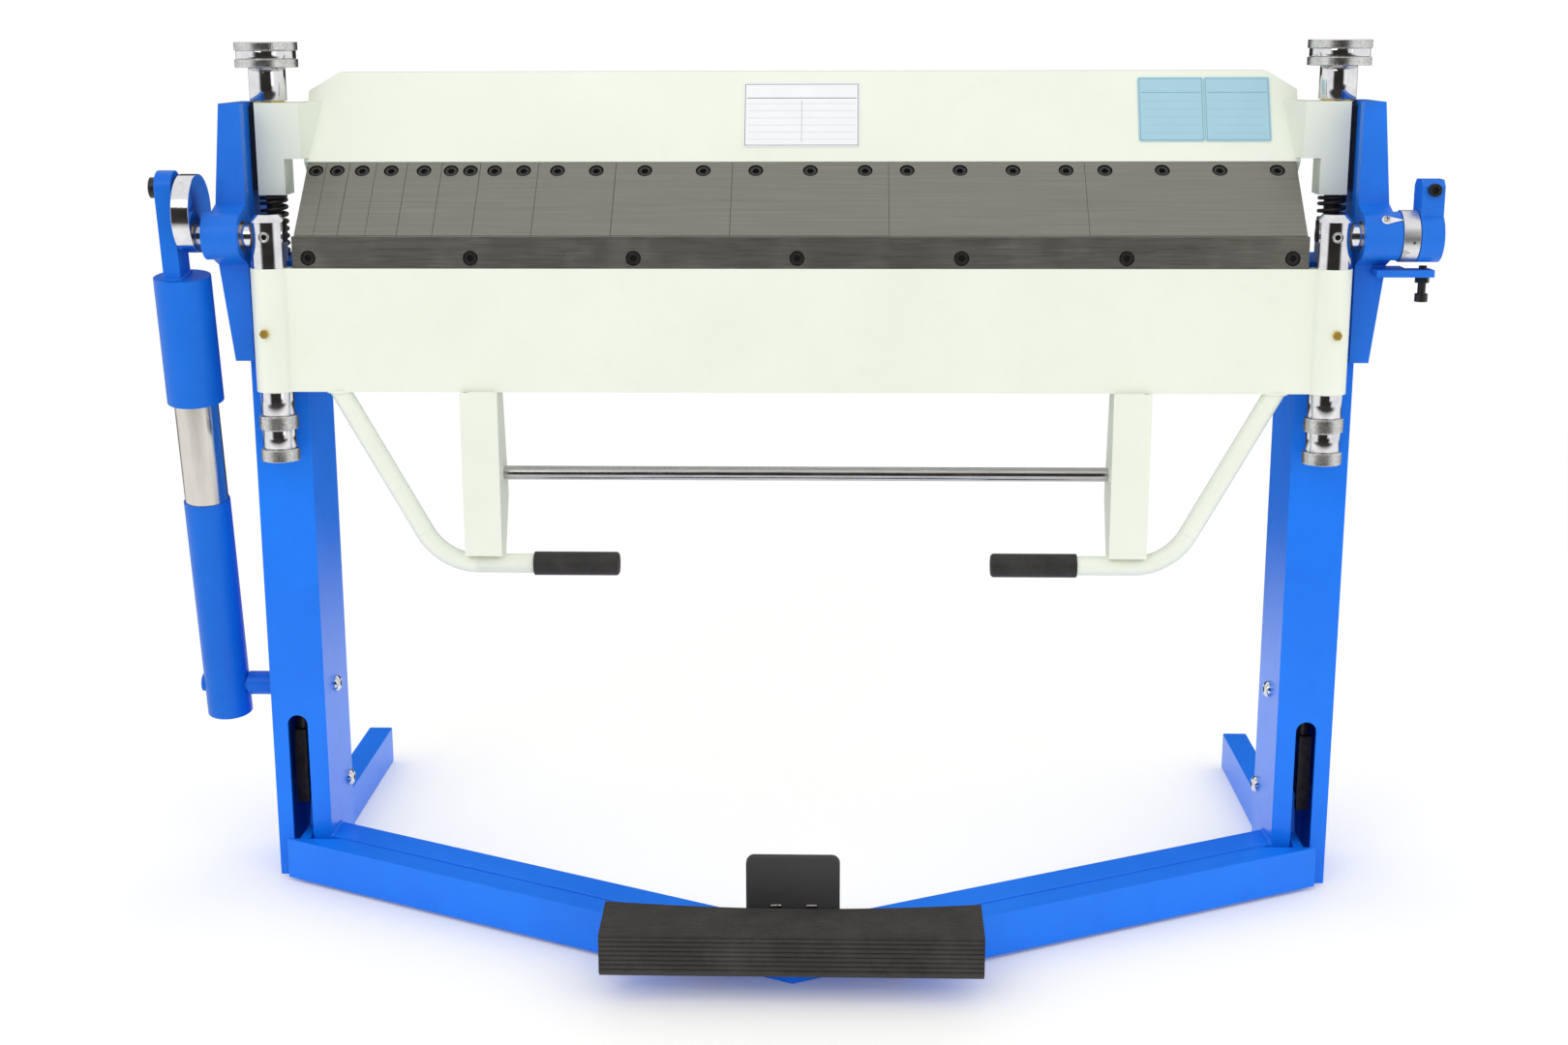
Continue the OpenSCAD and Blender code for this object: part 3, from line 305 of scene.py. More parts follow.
def plate(name):
    look, shared = plateLooks[name], rulings
    finish = Finish(name, coat=0.6, coatRoughness=0.08)
    u, v, _ = finish.axes("UV")
    across, up = u * look["wide"], v * look["tall"]
    edge = across.atMost(look["wide"] - across).atMost(up.atMost(look["tall"] - up))
    border = (edge > shared["border"][0]) * (edge < shared["border"][1])
    field = (edge > shared["fieldIn"]) * (up < look["tall"] * shared["fieldTop"])
    rule = (up % (look["tall"] / look["rows"])) < shared["ruleWide"]
    centre = abs(across - look["wide"] * look["split"]) < shared["splitHalf"]
    header = abs(up - look["tall"] * shared["headerAt"]) < shared["headerHalf"]
    header = header * (edge > shared["headerIn"])
    ink = border.atLeast(field * rule * shared["ruleInk"]).atLeast(field * centre * shared["splitInk"])
    wash = finish.noise(finish.place(), 30.0, 3.0)
    colour = finish.mix(wash.ramp(0.3, 0.8) * 0.12, look["face"], darker(look["face"], 0.7))
    colour = finish.mix(ink.atLeast(header), colour, look["line"])
    return finish.wear(colour=colour, roughness=0.28 + wash * 0.12)


# the ring's tick marks, between two turns about the pivot, and its small round hole, which is not cut but
# painted dark in the ink colour as painted shade
ringScale = {"step": math.radians(6), "coarseEvery": 3, "line": math.radians(1.7), "coarseWider": 1.3,
             "fineLong": 0.28, "coarseLong": 0.45, "from": math.radians(12), "to": math.radians(66),
             "holeTurn": math.radians(80), "holeAlong": 0.62, "holeRadius": 2.1 * mm,
             # ink prints the ticks, and also paints the hole dark as painted shade
             "bright": (0.80, 0.80, 0.81), "shade": (0.66, 0.66, 0.67), "ink": (0.08, 0.08, 0.09)}


def ringScaleCoat():
    look = ringScale
    low, high = box["graduated_ring"]
    finish = Finish("scaleSilver", metallic=1.0)
    x, y, z = finish.axes()
    turn = y.arctan2(z - (low.z + high.z) / 2) + math.pi
    along = (x - low.x) / (high.x - low.x)
    brush = finish.noise(finish.place((40.0, 900.0, 900.0)), 1.0, 3.0)
    fine = ((turn % look["step"]) < look["line"]) * (along < look["fineLong"])
    coarse = (turn % (look["coarseEvery"] * look["step"])) < look["line"] * look["coarseWider"]
    ticks = fine.atLeast(coarse * (along < look["coarseLong"])) * (turn > look["from"]) * (turn < look["to"])
    holeUp = (turn - look["holeTurn"]) * ((high.z - low.z) / 2)
    holeAlong = (along - look["holeAlong"]) * (high.x - low.x)
    holeShade = (holeUp * holeUp + holeAlong * holeAlong) < look["holeRadius"] ** 2
    mark = ticks.atLeast(holeShade)
    colour = finish.mix(brush.ramp(0.3, 0.7), look["shade"], look["bright"])
    # the ticks are printed ink; the hole gets the same dark colour and less metal as painted shade
    colour = finish.mix(mark, colour, look["ink"])
    return finish.wear(colour=colour, roughness=0.30 + brush * 0.1, metallic=1.0 - mark * 0.8)


# the pedal's blue tubes, with the black tread plate between them: above a height, and in front of a line
treadLow, treadHigh = box["tread_pad"]
treadPlate = {"half": treadHigh.x + 1 * mm, "above": 60.1 * mm, "before": treadLow.y + 12.2 * mm,
              "rougher": 0.12}


def pedalCoat():
    look = paints["legPaint"]
    finish = Finish("pedalPaint", coat=look["coat"], coatRoughness=paintGrain["coatRough"],
                    specular=look["specular"])
    colour, rough, bump = paintCoat(finish, look)
    x, y, z = finish.axes()
    black = (abs(x) < treadPlate["half"]) * (z > treadPlate["above"]).atLeast(treadPlate["before"] - y > 0.0)
    colour = finish.mix(black, colour, paints["blackPaint"]["colour"])
    return finish.wear(colour=colour, roughness=rough + black * treadPlate["rougher"], normal=bump)


finishes = {}
for make, looks in ((paint, paints), (steel, steels), (rubber, rubbers), (plate, plateLooks)):
    finishes.update({name: make(name) for name in looks})
finishes["pedalPaint"] = pedalCoat()
finishes["scaleSilver"] = ringScaleCoat()

fingers = ["finger_set_small", "finger_50", "finger_75", "finger_100", "finger_150", "finger_200",
           "finger_250", "finger_270"]
knurledNuts = [stem + "_" + side for stem in ("adjuster_nut", "adjuster_lock", "hinge_nut", "hinge_lock")
               for side in ("left", "right")]
# which CAD nodes wear each finish
wearing = {
    "legPaint": ["leg_left", "leg_right", "rear_feet", "front_stretcher"],
    "strutPaint": ["strut_sleeve", "strut_head", "strut_pin"],
    "blackPaint": ["release_plate"],
    "castingPaint": ["side_casting_left", "side_casting_right", "stop_arm"],
    "creamPaint": ["bed_beam", "clamp_beam", "apron_panel", "apron_handles"],
    "groundSteel": fingers,
    "barSteel": ["apron_bar", "bed_plate"],
    "chrome": ["hinge_stud_left", "hinge_stud_right", "pivot_pins", "crank_disc", "leg_bolts"],
    "barPolish": ["hand_bar"],
    "tubeSteel": ["strut_tube"],
    "brass": ["apron_fittings", "rod_collars"],
    "bronze": ["pivot_bushes"],
    "blackSteel": ["finger_screws", "apron_bar_screws", "set_screws", "stop_bolt", "casting_bolts",
                   "crank_bolt", "guide_strips", "rod_guides"],
    "pointerPaint": ["angle_pointer"],
    "pedalPaint": ["pedal_frame"],
    "scaleSilver": ["graduated_ring"],
    "treadRubber": ["tread_pad"],
    "gripRubber": ["handle_grips"],
    "springSteel": ["lift_springs", "strut_spring", "lift_rods"],
    "dataPlate": ["blank_plates"],
    "knurlSteel": knurledNuts,
}
for finishName, nodes in wearing.items():
    for name in nodes:
        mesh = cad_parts[name].data
        mesh.materials.clear()
        mesh.materials.append(finishes[finishName])
print("finishes on", sum(len(nodes) for nodes in wearing.values()), "nodes")

# softened edges of the CAD nodes: the rounding's width in mm, and the nodes that have it
roundings = {
    3.5: ["side_casting_left", "side_casting_right"],
    2.6: ["leg_left", "leg_right", "front_stretcher", "rear_feet", "stop_arm", "strut_head"],
    2.2: ["clamp_beam", "pedal_frame"],
    1.5: ["apron_panel", "apron_handles", "release_plate", "strut_sleeve", "bed_beam"],
    1.0: ["apron_bar"],
    0.8: ["hinge_stud_left", "hinge_stud_right", "crank_disc", "strut_tube", "graduated_ring"],
    0.45: ["bed_plate", *fingers, "hand_bar", "pivot_pins", "finger_screws", "apron_bar_screws", "set_screws",
           "stop_bolt", "crank_bolt", "angle_pointer", "apron_fittings", "strut_pin"],
}
# a rounding wider than wideFrom takes wideSteps, and any other narrowSteps
softening = {"weldWithin": 0.02 * mm, "flatWithin": math.radians(0.6), "edgeFrom": math.radians(28),
             "wideFrom": 1.0, "wideSteps": 3, "narrowSteps": 2}


def soften(name, width):
    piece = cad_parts[name]
    if "custom_normal" in piece.data.attributes:
        piece.data.attributes.remove(piece.data.attributes["custom_normal"])
    piece.data.shade_smooth()
    weld = piece.modifiers.new("weld", "WELD")
    weld.merge_threshold = softening["weldWithin"]
    flatten = piece.modifiers.new("flatten", "DECIMATE")
    flatten.decimate_type = "DISSOLVE"
    flatten.angle_limit = softening["flatWithin"]
    bevel = piece.modifiers.new("rounding", "BEVEL")
    bevel.width = width * mm
    bevel.segments = softening["wideSteps"] if width > softening["wideFrom"] else softening["narrowSteps"]
    bevel.limit_method = "ANGLE"
    bevel.angle_limit = softening["edgeFrom"]
    piece.modifiers.new("level", "WEIGHTED_NORMAL")  # flat faces stay flat beside the roundings


for width, nodes in roundings.items():
    for name in nodes:
        soften(name, width)
print("edges softened")


# makes a piece of its mesh, and puts it on its body, for the CAD nodes that it stands for, which it hides
def settle(name, work, material, body, stands=()):
    mesh = bpy.data.meshes.new(name)
    bmesh.ops.recalc_face_normals(work, faces=work.faces)
    work.to_mesh(mesh)
    work.free()
    piece = bpy.data.objects.new(name, mesh)
    bpy.context.scene.collection.objects.link(piece)
    mesh.materials.append(finishes[material])
    mesh.shade_smooth()
    if stands:
        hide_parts(*stands)
    if body:
        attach(piece, body)
    return piece


def sharpen(piece, degrees):
    bpy.context.view_layer.update()
    piece.data.set_sharp_from_angle(angle=math.radians(degrees))


# faces between two rings of points. Either may be a single point
def joinRings(work, first, second):
    if len(first) == 1 or len(second) == 1:
        tip, ring = (first, second) if len(first) == 1 else (second, first)
        for k in range(len(ring) if len(ring) > 1 else 0):
            work.faces.new([tip[0], ring[k], ring[(k + 1) % len(ring)]])
        return
    for k in range(len(first)):
        after = (k + 1) % len(first)
        work.faces.new([first[k], first[after], second[after], second[k]])


# turns a profile of (radius, height) points about an axis through base. press(angle, height, radius)
# gives the radius there, for knurls and hexagon sockets
def turnOn(work, base, axis, profile, around, press=None, closed=False):
    side = Vector((1, 0, 0)) if abs(axis.x) < 0.9 else Vector((0, 1, 0))
    first = axis.cross(side).normalized()
    second = axis.cross(first)
    rings = []
    for radius, height in profile:
        if radius == 0:
            rings.append([work.verts.new(base + axis * height)])
            continue
        ring = []
        for k in range(around):
            angle = 2 * math.pi * k / around
            out = math.cos(angle) * first + math.sin(angle) * second
            reach = press(angle, height, radius) if press else radius
            ring.append(work.verts.new(base + axis * height + reach * out))
        rings.append(ring)
    for k in range(len(rings) - 1):
        joinRings(work, rings[k], rings[k + 1])
    if closed:
        joinRings(work, rings[-1], rings[0])


# a round bar along a list of points. thick(share) scales its radius along the way
def sweepOn(work, points, radius, sides, thick=None):
    rings = []
    count = len(points)
    up = Vector((0.13, 0.31, 0.94)).normalized()  # any direction that no bar starts in
    for k, point in enumerate(points):
        ahead = (points[min(k + 1, count - 1)] - points[max(k - 1, 0)]).normalized()
        side = ahead.cross(up).normalized()
        up = side.cross(ahead)
        reach = radius * (thick(k / (count - 1)) if thick else 1)
        turns = [2 * math.pi * j / sides for j in range(sides)]
        rings.append([work.verts.new(point + reach * (math.cos(a) * side + math.sin(a) * up)) for a in turns])
    for k in range(count - 1):
        joinRings(work, rings[k], rings[k + 1])
    work.faces.new(rings[0])
    work.faces.new(rings[-1])


# diamond knurls: two families of grooves that cross
knurl = {"pitch": 2.1 * mm, "depth": 0.42 * mm, "flank": 1.5, "rows": 0.62 * mm, "perGroove": 8, "fewest": 12,
         "chamfer": 1.0 * mm, "edge": 0.8 * mm, "around": 72}


def knurlPress(outer, low, high):
    grooves = max(knurl["fewest"], round(math.pi * outer / knurl["pitch"]))

    def press(angle, height, radius):
        if radius < outer - tiny or not low < height < high:
            return radius
        twist = height / outer
        cross = min(abs(math.sin(grooves * (angle + twist))), abs(math.sin(grooves * (angle - twist))))
        return radius - knurl["depth"] * (1 - cross) ** knurl["flank"]

    return press, grooves * knurl["perGroove"]


# a turned ring with chamfered edges: edge is the chamfer, and wall the heights of its outer face
def bandProfile(inner, outer, low, high, edge, wall):
    foot = [(inner, low), (outer - edge, low), (outer - 0.3 * edge, low + 0.3 * edge)]
    top = [(outer - 0.3 * edge, high - 0.3 * edge), (outer - edge, high), (inner, high)]
    return foot + [(outer, height) for height in wall] + top


def knurledBand(work, base, axis, inner, outer, low, high):
    edge = knurl["chamfer"]
    tall = high - low - 2 * edge
    press, around = knurlPress(outer, low + edge, high - edge)
    rows = int(tall / knurl["rows"])
    wall = [low + edge + tall * k / rows for k in range(rows + 1)]
    turnOn(work, base, axis, bandProfile(inner, outer, low, high, edge, wall), around, press, closed=True)


def smoothBand(work, base, axis, inner, outer, low, high):
    edge = knurl["edge"]
    wall = [low + edge, high - edge]
    turnOn(work, base, axis, bandProfile(inner, outer, low, high, edge, wall), knurl["around"], closed=True)


# the nuts: each band is its kind, outer radius, and lowest and highest place along the nut, in mm
nuts = {
    "adjuster_nut": {"bands": [("smooth", 23.35, 0, 42), ("knurled", 40, 42, 52.5)], "bore": 10.1},
    "adjuster_lock": {"bands": [("smooth", 37.7, 0, 10.5), ("knurled", 40, 10.5, 21)], "bore": 10.1},
    "hinge_nut": {"bands": [("smooth", 21.25, 18, 49), ("knurled", 24.5, 0, 18)], "bore": 12.1},
    "hinge_lock": {"bands": [("smooth", 21.25, 16, 41), ("knurled", 24.5, 0, 16)], "bore": 12.1},
}


# the chrome sleeve and the knurled ring of one nut, which turn on the body of the same name
def makeNut(name, look):
    low, high = box[name]
    middle = (low + high) / 2
    base = Vector((middle.x, middle.y, low.z))
    parts = {"smooth": bmesh.new(), "knurled": bmesh.new()}
    for kind, outer, start, end in look["bands"]:
        make = knurledBand if kind == "knurled" else smoothBand
        make(parts[kind], base, Vector((0, 0, 1)), look["bore"] * mm, outer * mm, start * mm, end * mm)
    settle(name + "_sleeve", parts["smooth"], "chrome", name, [name])
    settle(name + "_knurl", parts["knurled"], "knurlSteel", name)


for name in knurledNuts:
    makeNut(name, nuts[name.rpartition("_")[0]])
print("knurled nuts turned")

# coil springs, which press two parts apart. Each is wound once where its CAD spring stands, and rides on no
# body
springs = {"wire": 5.0 * mm, "perTurn": 36, "sides": 12, "liftTurns": 9, "strutTurns": 15}


# the first and last turns lie closed, and the turns between them climb evenly
def coilPoints(base, axis, meanRadius, tall, turns):
    across = axis.cross(Vector((1, 0, 0))).normalized()
    side = across.cross(axis)
    wire = springs["wire"]
    count = turns * springs["perTurn"]
    flat = 1.0 / turns
    points = []
    for k in range(count + 1):
        share = k / count
        free = min(1, max(0, (share - flat) / (1 - 2 * flat)))
        closed = min(share, flat) / flat + max(0, share - 1 + flat) / flat
        climb = wire * closed + (tall - 3 * wire) * free
        angle = 2 * math.pi * turns * share
        out = math.cos(angle) * side + math.sin(angle) * across
        points.append(base + axis * (wire / 2 + climb) + meanRadius * out)
    return points


def makeLiftCoils():
    low, high = box["lift_springs"]
    outer = (high.y - low.y) / 2
    wire = springs["wire"]
    for side, x in (("left", low.x + outer), ("right", high.x - outer)):
        work = bmesh.new()
        base = Vector((x, (low.y + high.y) / 2, low.z))
        points = coilPoints(base, Vector((0, 0, 1)), outer - wire / 2, high.z - low.z, springs["liftTurns"])
        sweepOn(work, points, wire / 2, springs["sides"])
        piece = settle("lift_spring_" + side, work, "springSteel", None, ["lift_springs"])
        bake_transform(piece)


# the strut's foot, at its lower pin, and the direction from there to the crank bolt
def strutLine():
    middles = [(box[name][0] + box[name][1]) / 2 for name in ("strut_tube", "strut_pin", "crank_bolt")]
    foot = Vector((middles[0].x, middles[1].y, middles[1].z))
    head = Vector((middles[0].x, middles[2].y, middles[2].z))
    return foot, (head - foot).normalized()


# the spring inside the strut: its foot is held by the upper half's draw nut, its top by the lower tube
def makeStrutCoil():
    foot, axis = strutLine()
    wire = springs["wire"]
    spokes = [vertex.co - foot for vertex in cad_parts["strut_spring"].data.vertices]
    heights = [spoke.dot(axis) for spoke in spokes]
    outer = max((spoke - axis * spoke.dot(axis)).length for spoke in spokes)
    low, high = min(heights), max(heights)
    work = bmesh.new()
    points = coilPoints(foot + axis * low, axis, outer - wire / 2, high - low, springs["strutTurns"])
    sweepOn(work, points, wire / 2, springs["sides"])
    piece = settle("strut_coil", work, "springSteel", None, ["strut_spring"])
    foot + axis * low
    foot + axis * high
    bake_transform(piece)


makeLiftCoils()
makeStrutCoil()
print("springs wound")

# the tread pad: a ribbed rubber block over the tread plate's front edge, dished towards its back edge
tread = {"ribPitch": 5.6 * mm, "ribHeight": 2.2 * mm, "ribShape": 0.7, "dish": 8.0 * mm, "dishShape": 1.6,
         "perRib": 8, "across": 48, "frontTop": 85 * mm, "underside": 66.3 * mm, "shell": 5.7 * mm,
         "edgeWithin": 5 * mm, "edgeRound": 1.6 * mm, "sharp": 50}


def makeTread():
    half = treadHigh.x
    foot = Vector((0, treadLow.y, treadLow.z))
    corner = Vector((0, treadLow.y, tread["frontTop"]))
    back = Vector((0, treadHigh.y, treadHigh.z))
    rise, run = (corner - foot).length, (back - corner).length
    ribs = int((rise + run) / tread["ribPitch"])
    count = ribs * tread["perRib"]
    shellY = treadLow.y + tread["shell"]
    inside = [(treadHigh.y, tread["underside"]), (shellY, tread["underside"]), (shellY, treadLow.z)]
    work = bmesh.new()
    rows = []
    for i in range(tread["across"] + 1):
        x = -half + 2 * half * i / tread["across"]
        sag = tread["dish"] * (1 - (x / half) ** 2)
        row = []
        for j in range(count + 1):
            along = (rise + run) * j / count
            rib = tread["ribHeight"] * abs(math.sin(math.pi * ribs * j / count)) ** tread["ribShape"]
            if along < rise:
                point = foot + (corner - foot) * (along / rise)
                inward = Vector((0, 1, 0))
            else:
                share = (along - rise) / run
                point = corner + (back - corner) * share - Vector((0, 0, sag * share ** tread["dishShape"]))
                inward = Vector((0, 0.1, -1))
            near = max(0, 1 - abs(along - rise) / tread["edgeWithin"])  # the front edge is rounded
            point = point + Vector((0, 1, -1)) * (tread["edgeRound"] * near * near)
            point = point + inward * (tread["ribHeight"] - rib)
            row.append(work.verts.new(Vector((x, point.y, point.z))))
        row += [work.verts.new(Vector((x, y, z))) for y, z in inside]
        rows.append(row)
    for first, second in zip(rows, rows[1:]):
        joinRings(work, first, second)
    work.faces.new(rows[0])
    work.faces.new(rows[-1])
    piece = settle("tread_rubber", work, "treadRubber", "pedal", ["tread_pad"])
    sharpen(piece, tread["sharp"])


makeTread()
print("tread ribbed")

# hand grips with a rounded end and shallow rings, open over the handle's tube
grips = {"long": 111 * mm, "bore": 12.75 * mm, "endWall": 7.9 * mm, "endRound": 5 * mm, "endSteps": 6,
         "chamfer": 1 * mm, "ringPitch": 3.2 * mm, "ringDepth": 0.22 * mm, "perRing": 6, "around": 48}


# the open end faces outwards along the tube, the round end towards the middle
def makeGrips():
    low, high = box["handle_grips"]
    middle = (low + high) / 2
    radius = (high.z - low.z) / 2
    bore, soft, chamfer = grips["bore"], grips["endRound"], grips["chamfer"]
    bodyEnd = grips["long"] - soft
    floorAt = grips["long"] - grips["endWall"]
    rings = int((bodyEnd - 2 * chamfer) / grips["ringPitch"] * grips["perRing"])
    profile = [(bore, 0.0), (radius - chamfer, 0.0), (radius, chamfer)]
    for k in range(1, rings):
        along = chamfer + (bodyEnd - chamfer) * k / rings
        dip = grips["ringDepth"] * (0.5 - 0.5 * math.cos(2 * math.pi * along / grips["ringPitch"]))
        profile.append((radius - dip, along))
    for k in range(grips["endSteps"] + 1):
        turn = math.pi / 2 * k / grips["endSteps"]
        profile.append((radius - soft + soft * math.cos(turn), bodyEnd + soft * math.sin(turn)))
    profile += [(0.0, grips["long"]), (0.0, floorAt), (bore, floorAt)]
    for side, tip, axis in (("left", low.x, 1), ("right", high.x, -1)):
        work = bmesh.new()
        base = Vector((tip, middle.y, middle.z))
        turnOn(work, base, Vector((axis, 0, 0)), profile, grips["around"], closed=True)
        settle("grip_" + side, work, "gripRubber", "apron", ["handle_grips"])


makeGrips()
print("grips fitted")


# the separate solids of one node, each as its corner points, from left to right
def islands(node):
    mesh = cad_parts[node].data
    parent = {}

    def find(key):
        while parent[key] != key:
            parent[key] = parent[parent[key]]
            key = parent[key]
        return key

    keys = [tuple(round(c * 1e5) for c in vertex.co) for vertex in mesh.vertices]
    for key in keys:
        parent.setdefault(key, key)
    for polygon in mesh.polygons:
        corners = [find(keys[v]) for v in polygon.vertices]
        for other in corners[1:]:
            parent[find(other)] = find(corners[0])
    groups = {}
    for key in parent:
        groups.setdefault(find(key), []).append(Vector(key) * 1e-5)
    return sorted(groups.values(), key=lambda group: min(point.x for point in group))


def boxOf(points):
    low = Vector([min(point[i] for point in points) for i in range(3)])
    high = Vector([max(point[i] for point in points) for i in range(3)])
    return low, high


# a domed head with a socket in it
def domeProfile(radius, tall, socket, deep, rim):
    profile = [(0.0, tall - deep), (socket, tall - deep), (socket, tall)]
    steps = 8
    for k in range(1, steps + 1):
        turn = math.pi / 2 * k / steps
        profile.append((socket + (radius - socket) * math.sin(turn), rim + (tall - rim) * math.cos(turn)))
    return profile + [(radius, 0.0)]


# the button-head bolts on the legs. A long one goes right through, with a head at both ends
buttons = {"headRadius": 11 * mm, "headTall": 7.6 * mm, "rim": 1.6 * mm, "socket": 4.6 * mm,
           "socketDeep": 4 * mm, "flats": 0.88, "shank": 7.8 * mm, "seat": 8 * mm, "throughFrom": 60 * mm,
           "around": 48, "sharp": 40}


def hexSocket(angle, height, radius):
    if radius > buttons["socket"] + tiny:
        return radius
    return radius / math.cos((angle % (math.pi / 3)) - math.pi / 6) * buttons["flats"]


def makeLegBolts():
    look = buttons
    head = domeProfile(look["headRadius"], look["headTall"], look["socket"], look["socketDeep"], look["rim"])
    seat, shank = look["seat"], look["shank"]
    for number, group in enumerate(islands("leg_bolts")):
        low, high = boxOf(group)
        middle = (low + high) / 2
        inward = -1 if middle.x > 0 else 1
        start = low.x + seat if inward < 0 else high.x - seat
        length = high.x - low.x - seat
        if high.x - low.x > look["throughFrom"]:
            farHead = [(radius, -length + seat - height) for radius, height in reversed(head)]
            profile = head + [(shank, 0.0), (shank, -length + seat)] + farHead
        else:
            profile = head + [(shank, 0.0), (shank, -length), (0.0, -length)]
        work = bmesh.new()
        base = Vector((start, middle.y, middle.z))
        turnOn(work, base, Vector((inward, 0, 0)), profile, look["around"], hexSocket)
        piece = settle("leg_bolt_%d" % number, work, "chrome", "frame", ["leg_bolts"])
        sharpen(piece, look["sharp"])


# the cross-head screw that holds the angle pointer. tilt is its lean to the front, in degrees
pointerScrew = {"radius": 3.8 * mm, "tall": 3.3 * mm, "cadHead": 2.5 * mm, "headWithin": 8 * mm, "tilt": 46,
                "dimple": 0.9 * mm, "dimpleDeep": 0.4 * mm, "rim": 1.8 * mm, "around": 32,
                "crossLong": 2.7 * mm, "crossWide": 0.55 * mm, "crossProud": 0.05 * mm,
                "crossDeep": 1.2 * mm}


def makePointerScrew():
    look = pointerScrew
    group = max(islands("angle_pointer"), key=len)
    peak = max(p.z - p.y for p in group)
    crest = [p for p in group if p.z - p.y > peak - look["cadHead"]]
    crest = [p for p in crest if abs(p.x - crest[0].x) < look["headWithin"]]
    middle = sum(crest, Vector()) / len(crest)
    tilt = math.radians(look["tilt"])
    axis = Vector((0, -math.sin(tilt), math.cos(tilt)))
    top = max(p.dot(axis) for p in group)
    base = middle + axis * (top - look["cadHead"] - middle.dot(axis))
    work = bmesh.new()
    head = domeProfile(look["radius"], look["tall"], look["dimple"], look["dimpleDeep"], look["rim"])
    turnOn(work, base, axis, head + [(0.0, 0.0)], look["around"])
    settle("pointer_screw", work, "knurlSteel", "frame")
    # the cross recess in its head, drawn as a black solid a little proud of the dome: painted shade of the
    # recess. Three corners, turned by a quarter for each next arm
    long, wide = look["crossLong"], look["crossWide"]
    arm = [(long, wide), (wide, wide), (wide, long)]
    corners = []
    for quarter in range(4):
        corners += arm
        arm = [(-v, u) for u, v in arm]
    work = bmesh.new()
    first, second = Vector((1, 0, 0)), axis.cross(Vector((1, 0, 0)))
    high = base + axis * (look["tall"] + look["crossProud"])
    ends = (high, high - axis * look["crossDeep"])
    rings = [[work.verts.new(end + first * u + second * v) for u, v in corners] for end in ends]
    joinRings(work, *rings)
    work.faces.new(rings[0])
    work.faces.new(rings[1])
    # the black cross is painted shade standing for the hollow recess
    settle("pointer_cross_shade", work, "blackSteel", "frame")


# a bright dished rim round each set screw in the stud heads: its profile is (radius, height) in mm
studRim = {"profile": [(3.3, -1.2), (3.3, -0.3), (5.2, 0.2), (6.0, 0.45), (6.6, 0.3), (7.0, -1.2)],
           "pivotWithin": 5 * mm, "around": 40}


def makeStudRims():
    ringLow, ringHigh = box["graduated_ring"]
    pivotZ = (ringLow.z + ringHigh.z) / 2
    studFront = min(box["hinge_stud_left"][0].y, box["hinge_stud_right"][0].y)
    profile = [(radius * mm, height * mm) for radius, height in studRim["profile"]]
    for group in islands("set_screws"):
        low, high = boxOf(group)
        middle = (low + high) / 2
        if abs(middle.z - pivotZ) > studRim["pivotWithin"]:
            continue  # the stop arm's clamp screw
        work = bmesh.new()
        base = Vector((middle.x, studFront, middle.z))
        turnOn(work, base, Vector((0, -1, 0)), profile, studRim["around"], closed=True)
        side = "left" if middle.x < 0 else "right"
        settle("stud_rim_" + side, work, "knurlSteel", "apron")


makeLegBolts()
makePointerScrew()
makeStudRims()
print("leg bolts, pointer screw and stud rims turned")

# blank plates with rounded corners, laid where their CAD solids are
plateShape = {"corner": 3.0 * mm, "cornerSteps": 6, "sharp": 32}


def roundedOutline(wide, tall):
    corner, steps = plateShape["corner"], plateShape["cornerSteps"]
    outline = []
    for x, y, start in ((wide - corner, tall - corner, 0), (corner, tall - corner, 90),
                        (corner, corner, 180), (wide - corner, corner, 270)):
        turns = [math.radians(start + 90 / steps * k) for k in range(steps + 1)]
        outline += [(x + corner * math.cos(turn), y + corner * math.sin(turn)) for turn in turns]
    return outline


def makePlate(number, group):
    low, high = boxOf(group)
    wide = high.x - low.x
    bottom = min(group, key=lambda p: p.z)
    front = min(group, key=lambda p: p.y)
    crest = [p for p in group if p.z > high.z - tiny or p.y > high.y - tiny]
    frontTop = min(crest, key=lambda p: p.y)
    slope = Vector((0, frontTop.y, frontTop.z)) - Vector((0, front.y, front.z))
    tall = slope.length
    slope.normalize()
    outward = Vector((0, -slope.z, slope.y))
    thick = (Vector((0, bottom.y, bottom.z)) - Vector((0, front.y, front.z))).length
    origin = Vector((low.x, front.y, front.z))
    work = bmesh.new()
    uv = work.loops.layers.uv.new("plate")
    spots = [origin + Vector((u, 0, 0)) + slope * v for u, v in roundedOutline(wide, tall)]
    face = [work.verts.new(spot) for spot in spots]
    back = [work.verts.new(spot - outward * thick) for spot in spots]
    work.faces.new(face)
    work.faces.new(back)
    joinRings(work, face, back)
    for polygon in work.faces:
        for loop in polygon.loops:
            away = loop.vert.co - origin
            loop[uv].uv = (away.x / wide, away.dot(slope) / tall)
    look = "dataPlate" if number == 0 else "signPlate"
    piece = settle("plate_%d" % number, work, look, "clamp_beam", ["blank_plates"])
    sharpen(piece, plateShape["sharp"])


for number, group in enumerate(islands("blank_plates")):
    makePlate(number, group)
print("plates laid")

# weld beads: step and ripple shape every bead, and the other numbers are each bead's radius and reach
welds = {"step": 1.1 * mm, "ripple": 0.14, "rippleTurn": 0.8, "fewest": 6, "sides": 10,
         "leg": 3.2 * mm, "legIn": 1.5 * mm, "legUp": 3 * mm, "legBack": 52 * mm,
         "foot": 2.6 * mm, "footWide": 36 * mm, "footUp": 4 * mm,
         "handle": 2.2 * mm, "handleLong": 14.25 * mm, "handleWide": 12.5 * mm, "handleOut": 1 * mm,
         "handleDown": 0.5 * mm, "handleSteps": 40,
         "lever": 3.2 * mm, "leverFrom": 10 * mm, "leverThick": 22 * mm, "leverHalf": 21.5 * mm,
         "capFrom": 30 * mm,
         "plate": 2.2 * mm, "plateFrom": (-27 * mm, 16 * mm), "plateLong": 13 * mm, "plateAt": 87 * mm,
         "plateRise": 0.4 * mm, "plateIn": 0.4 * mm}


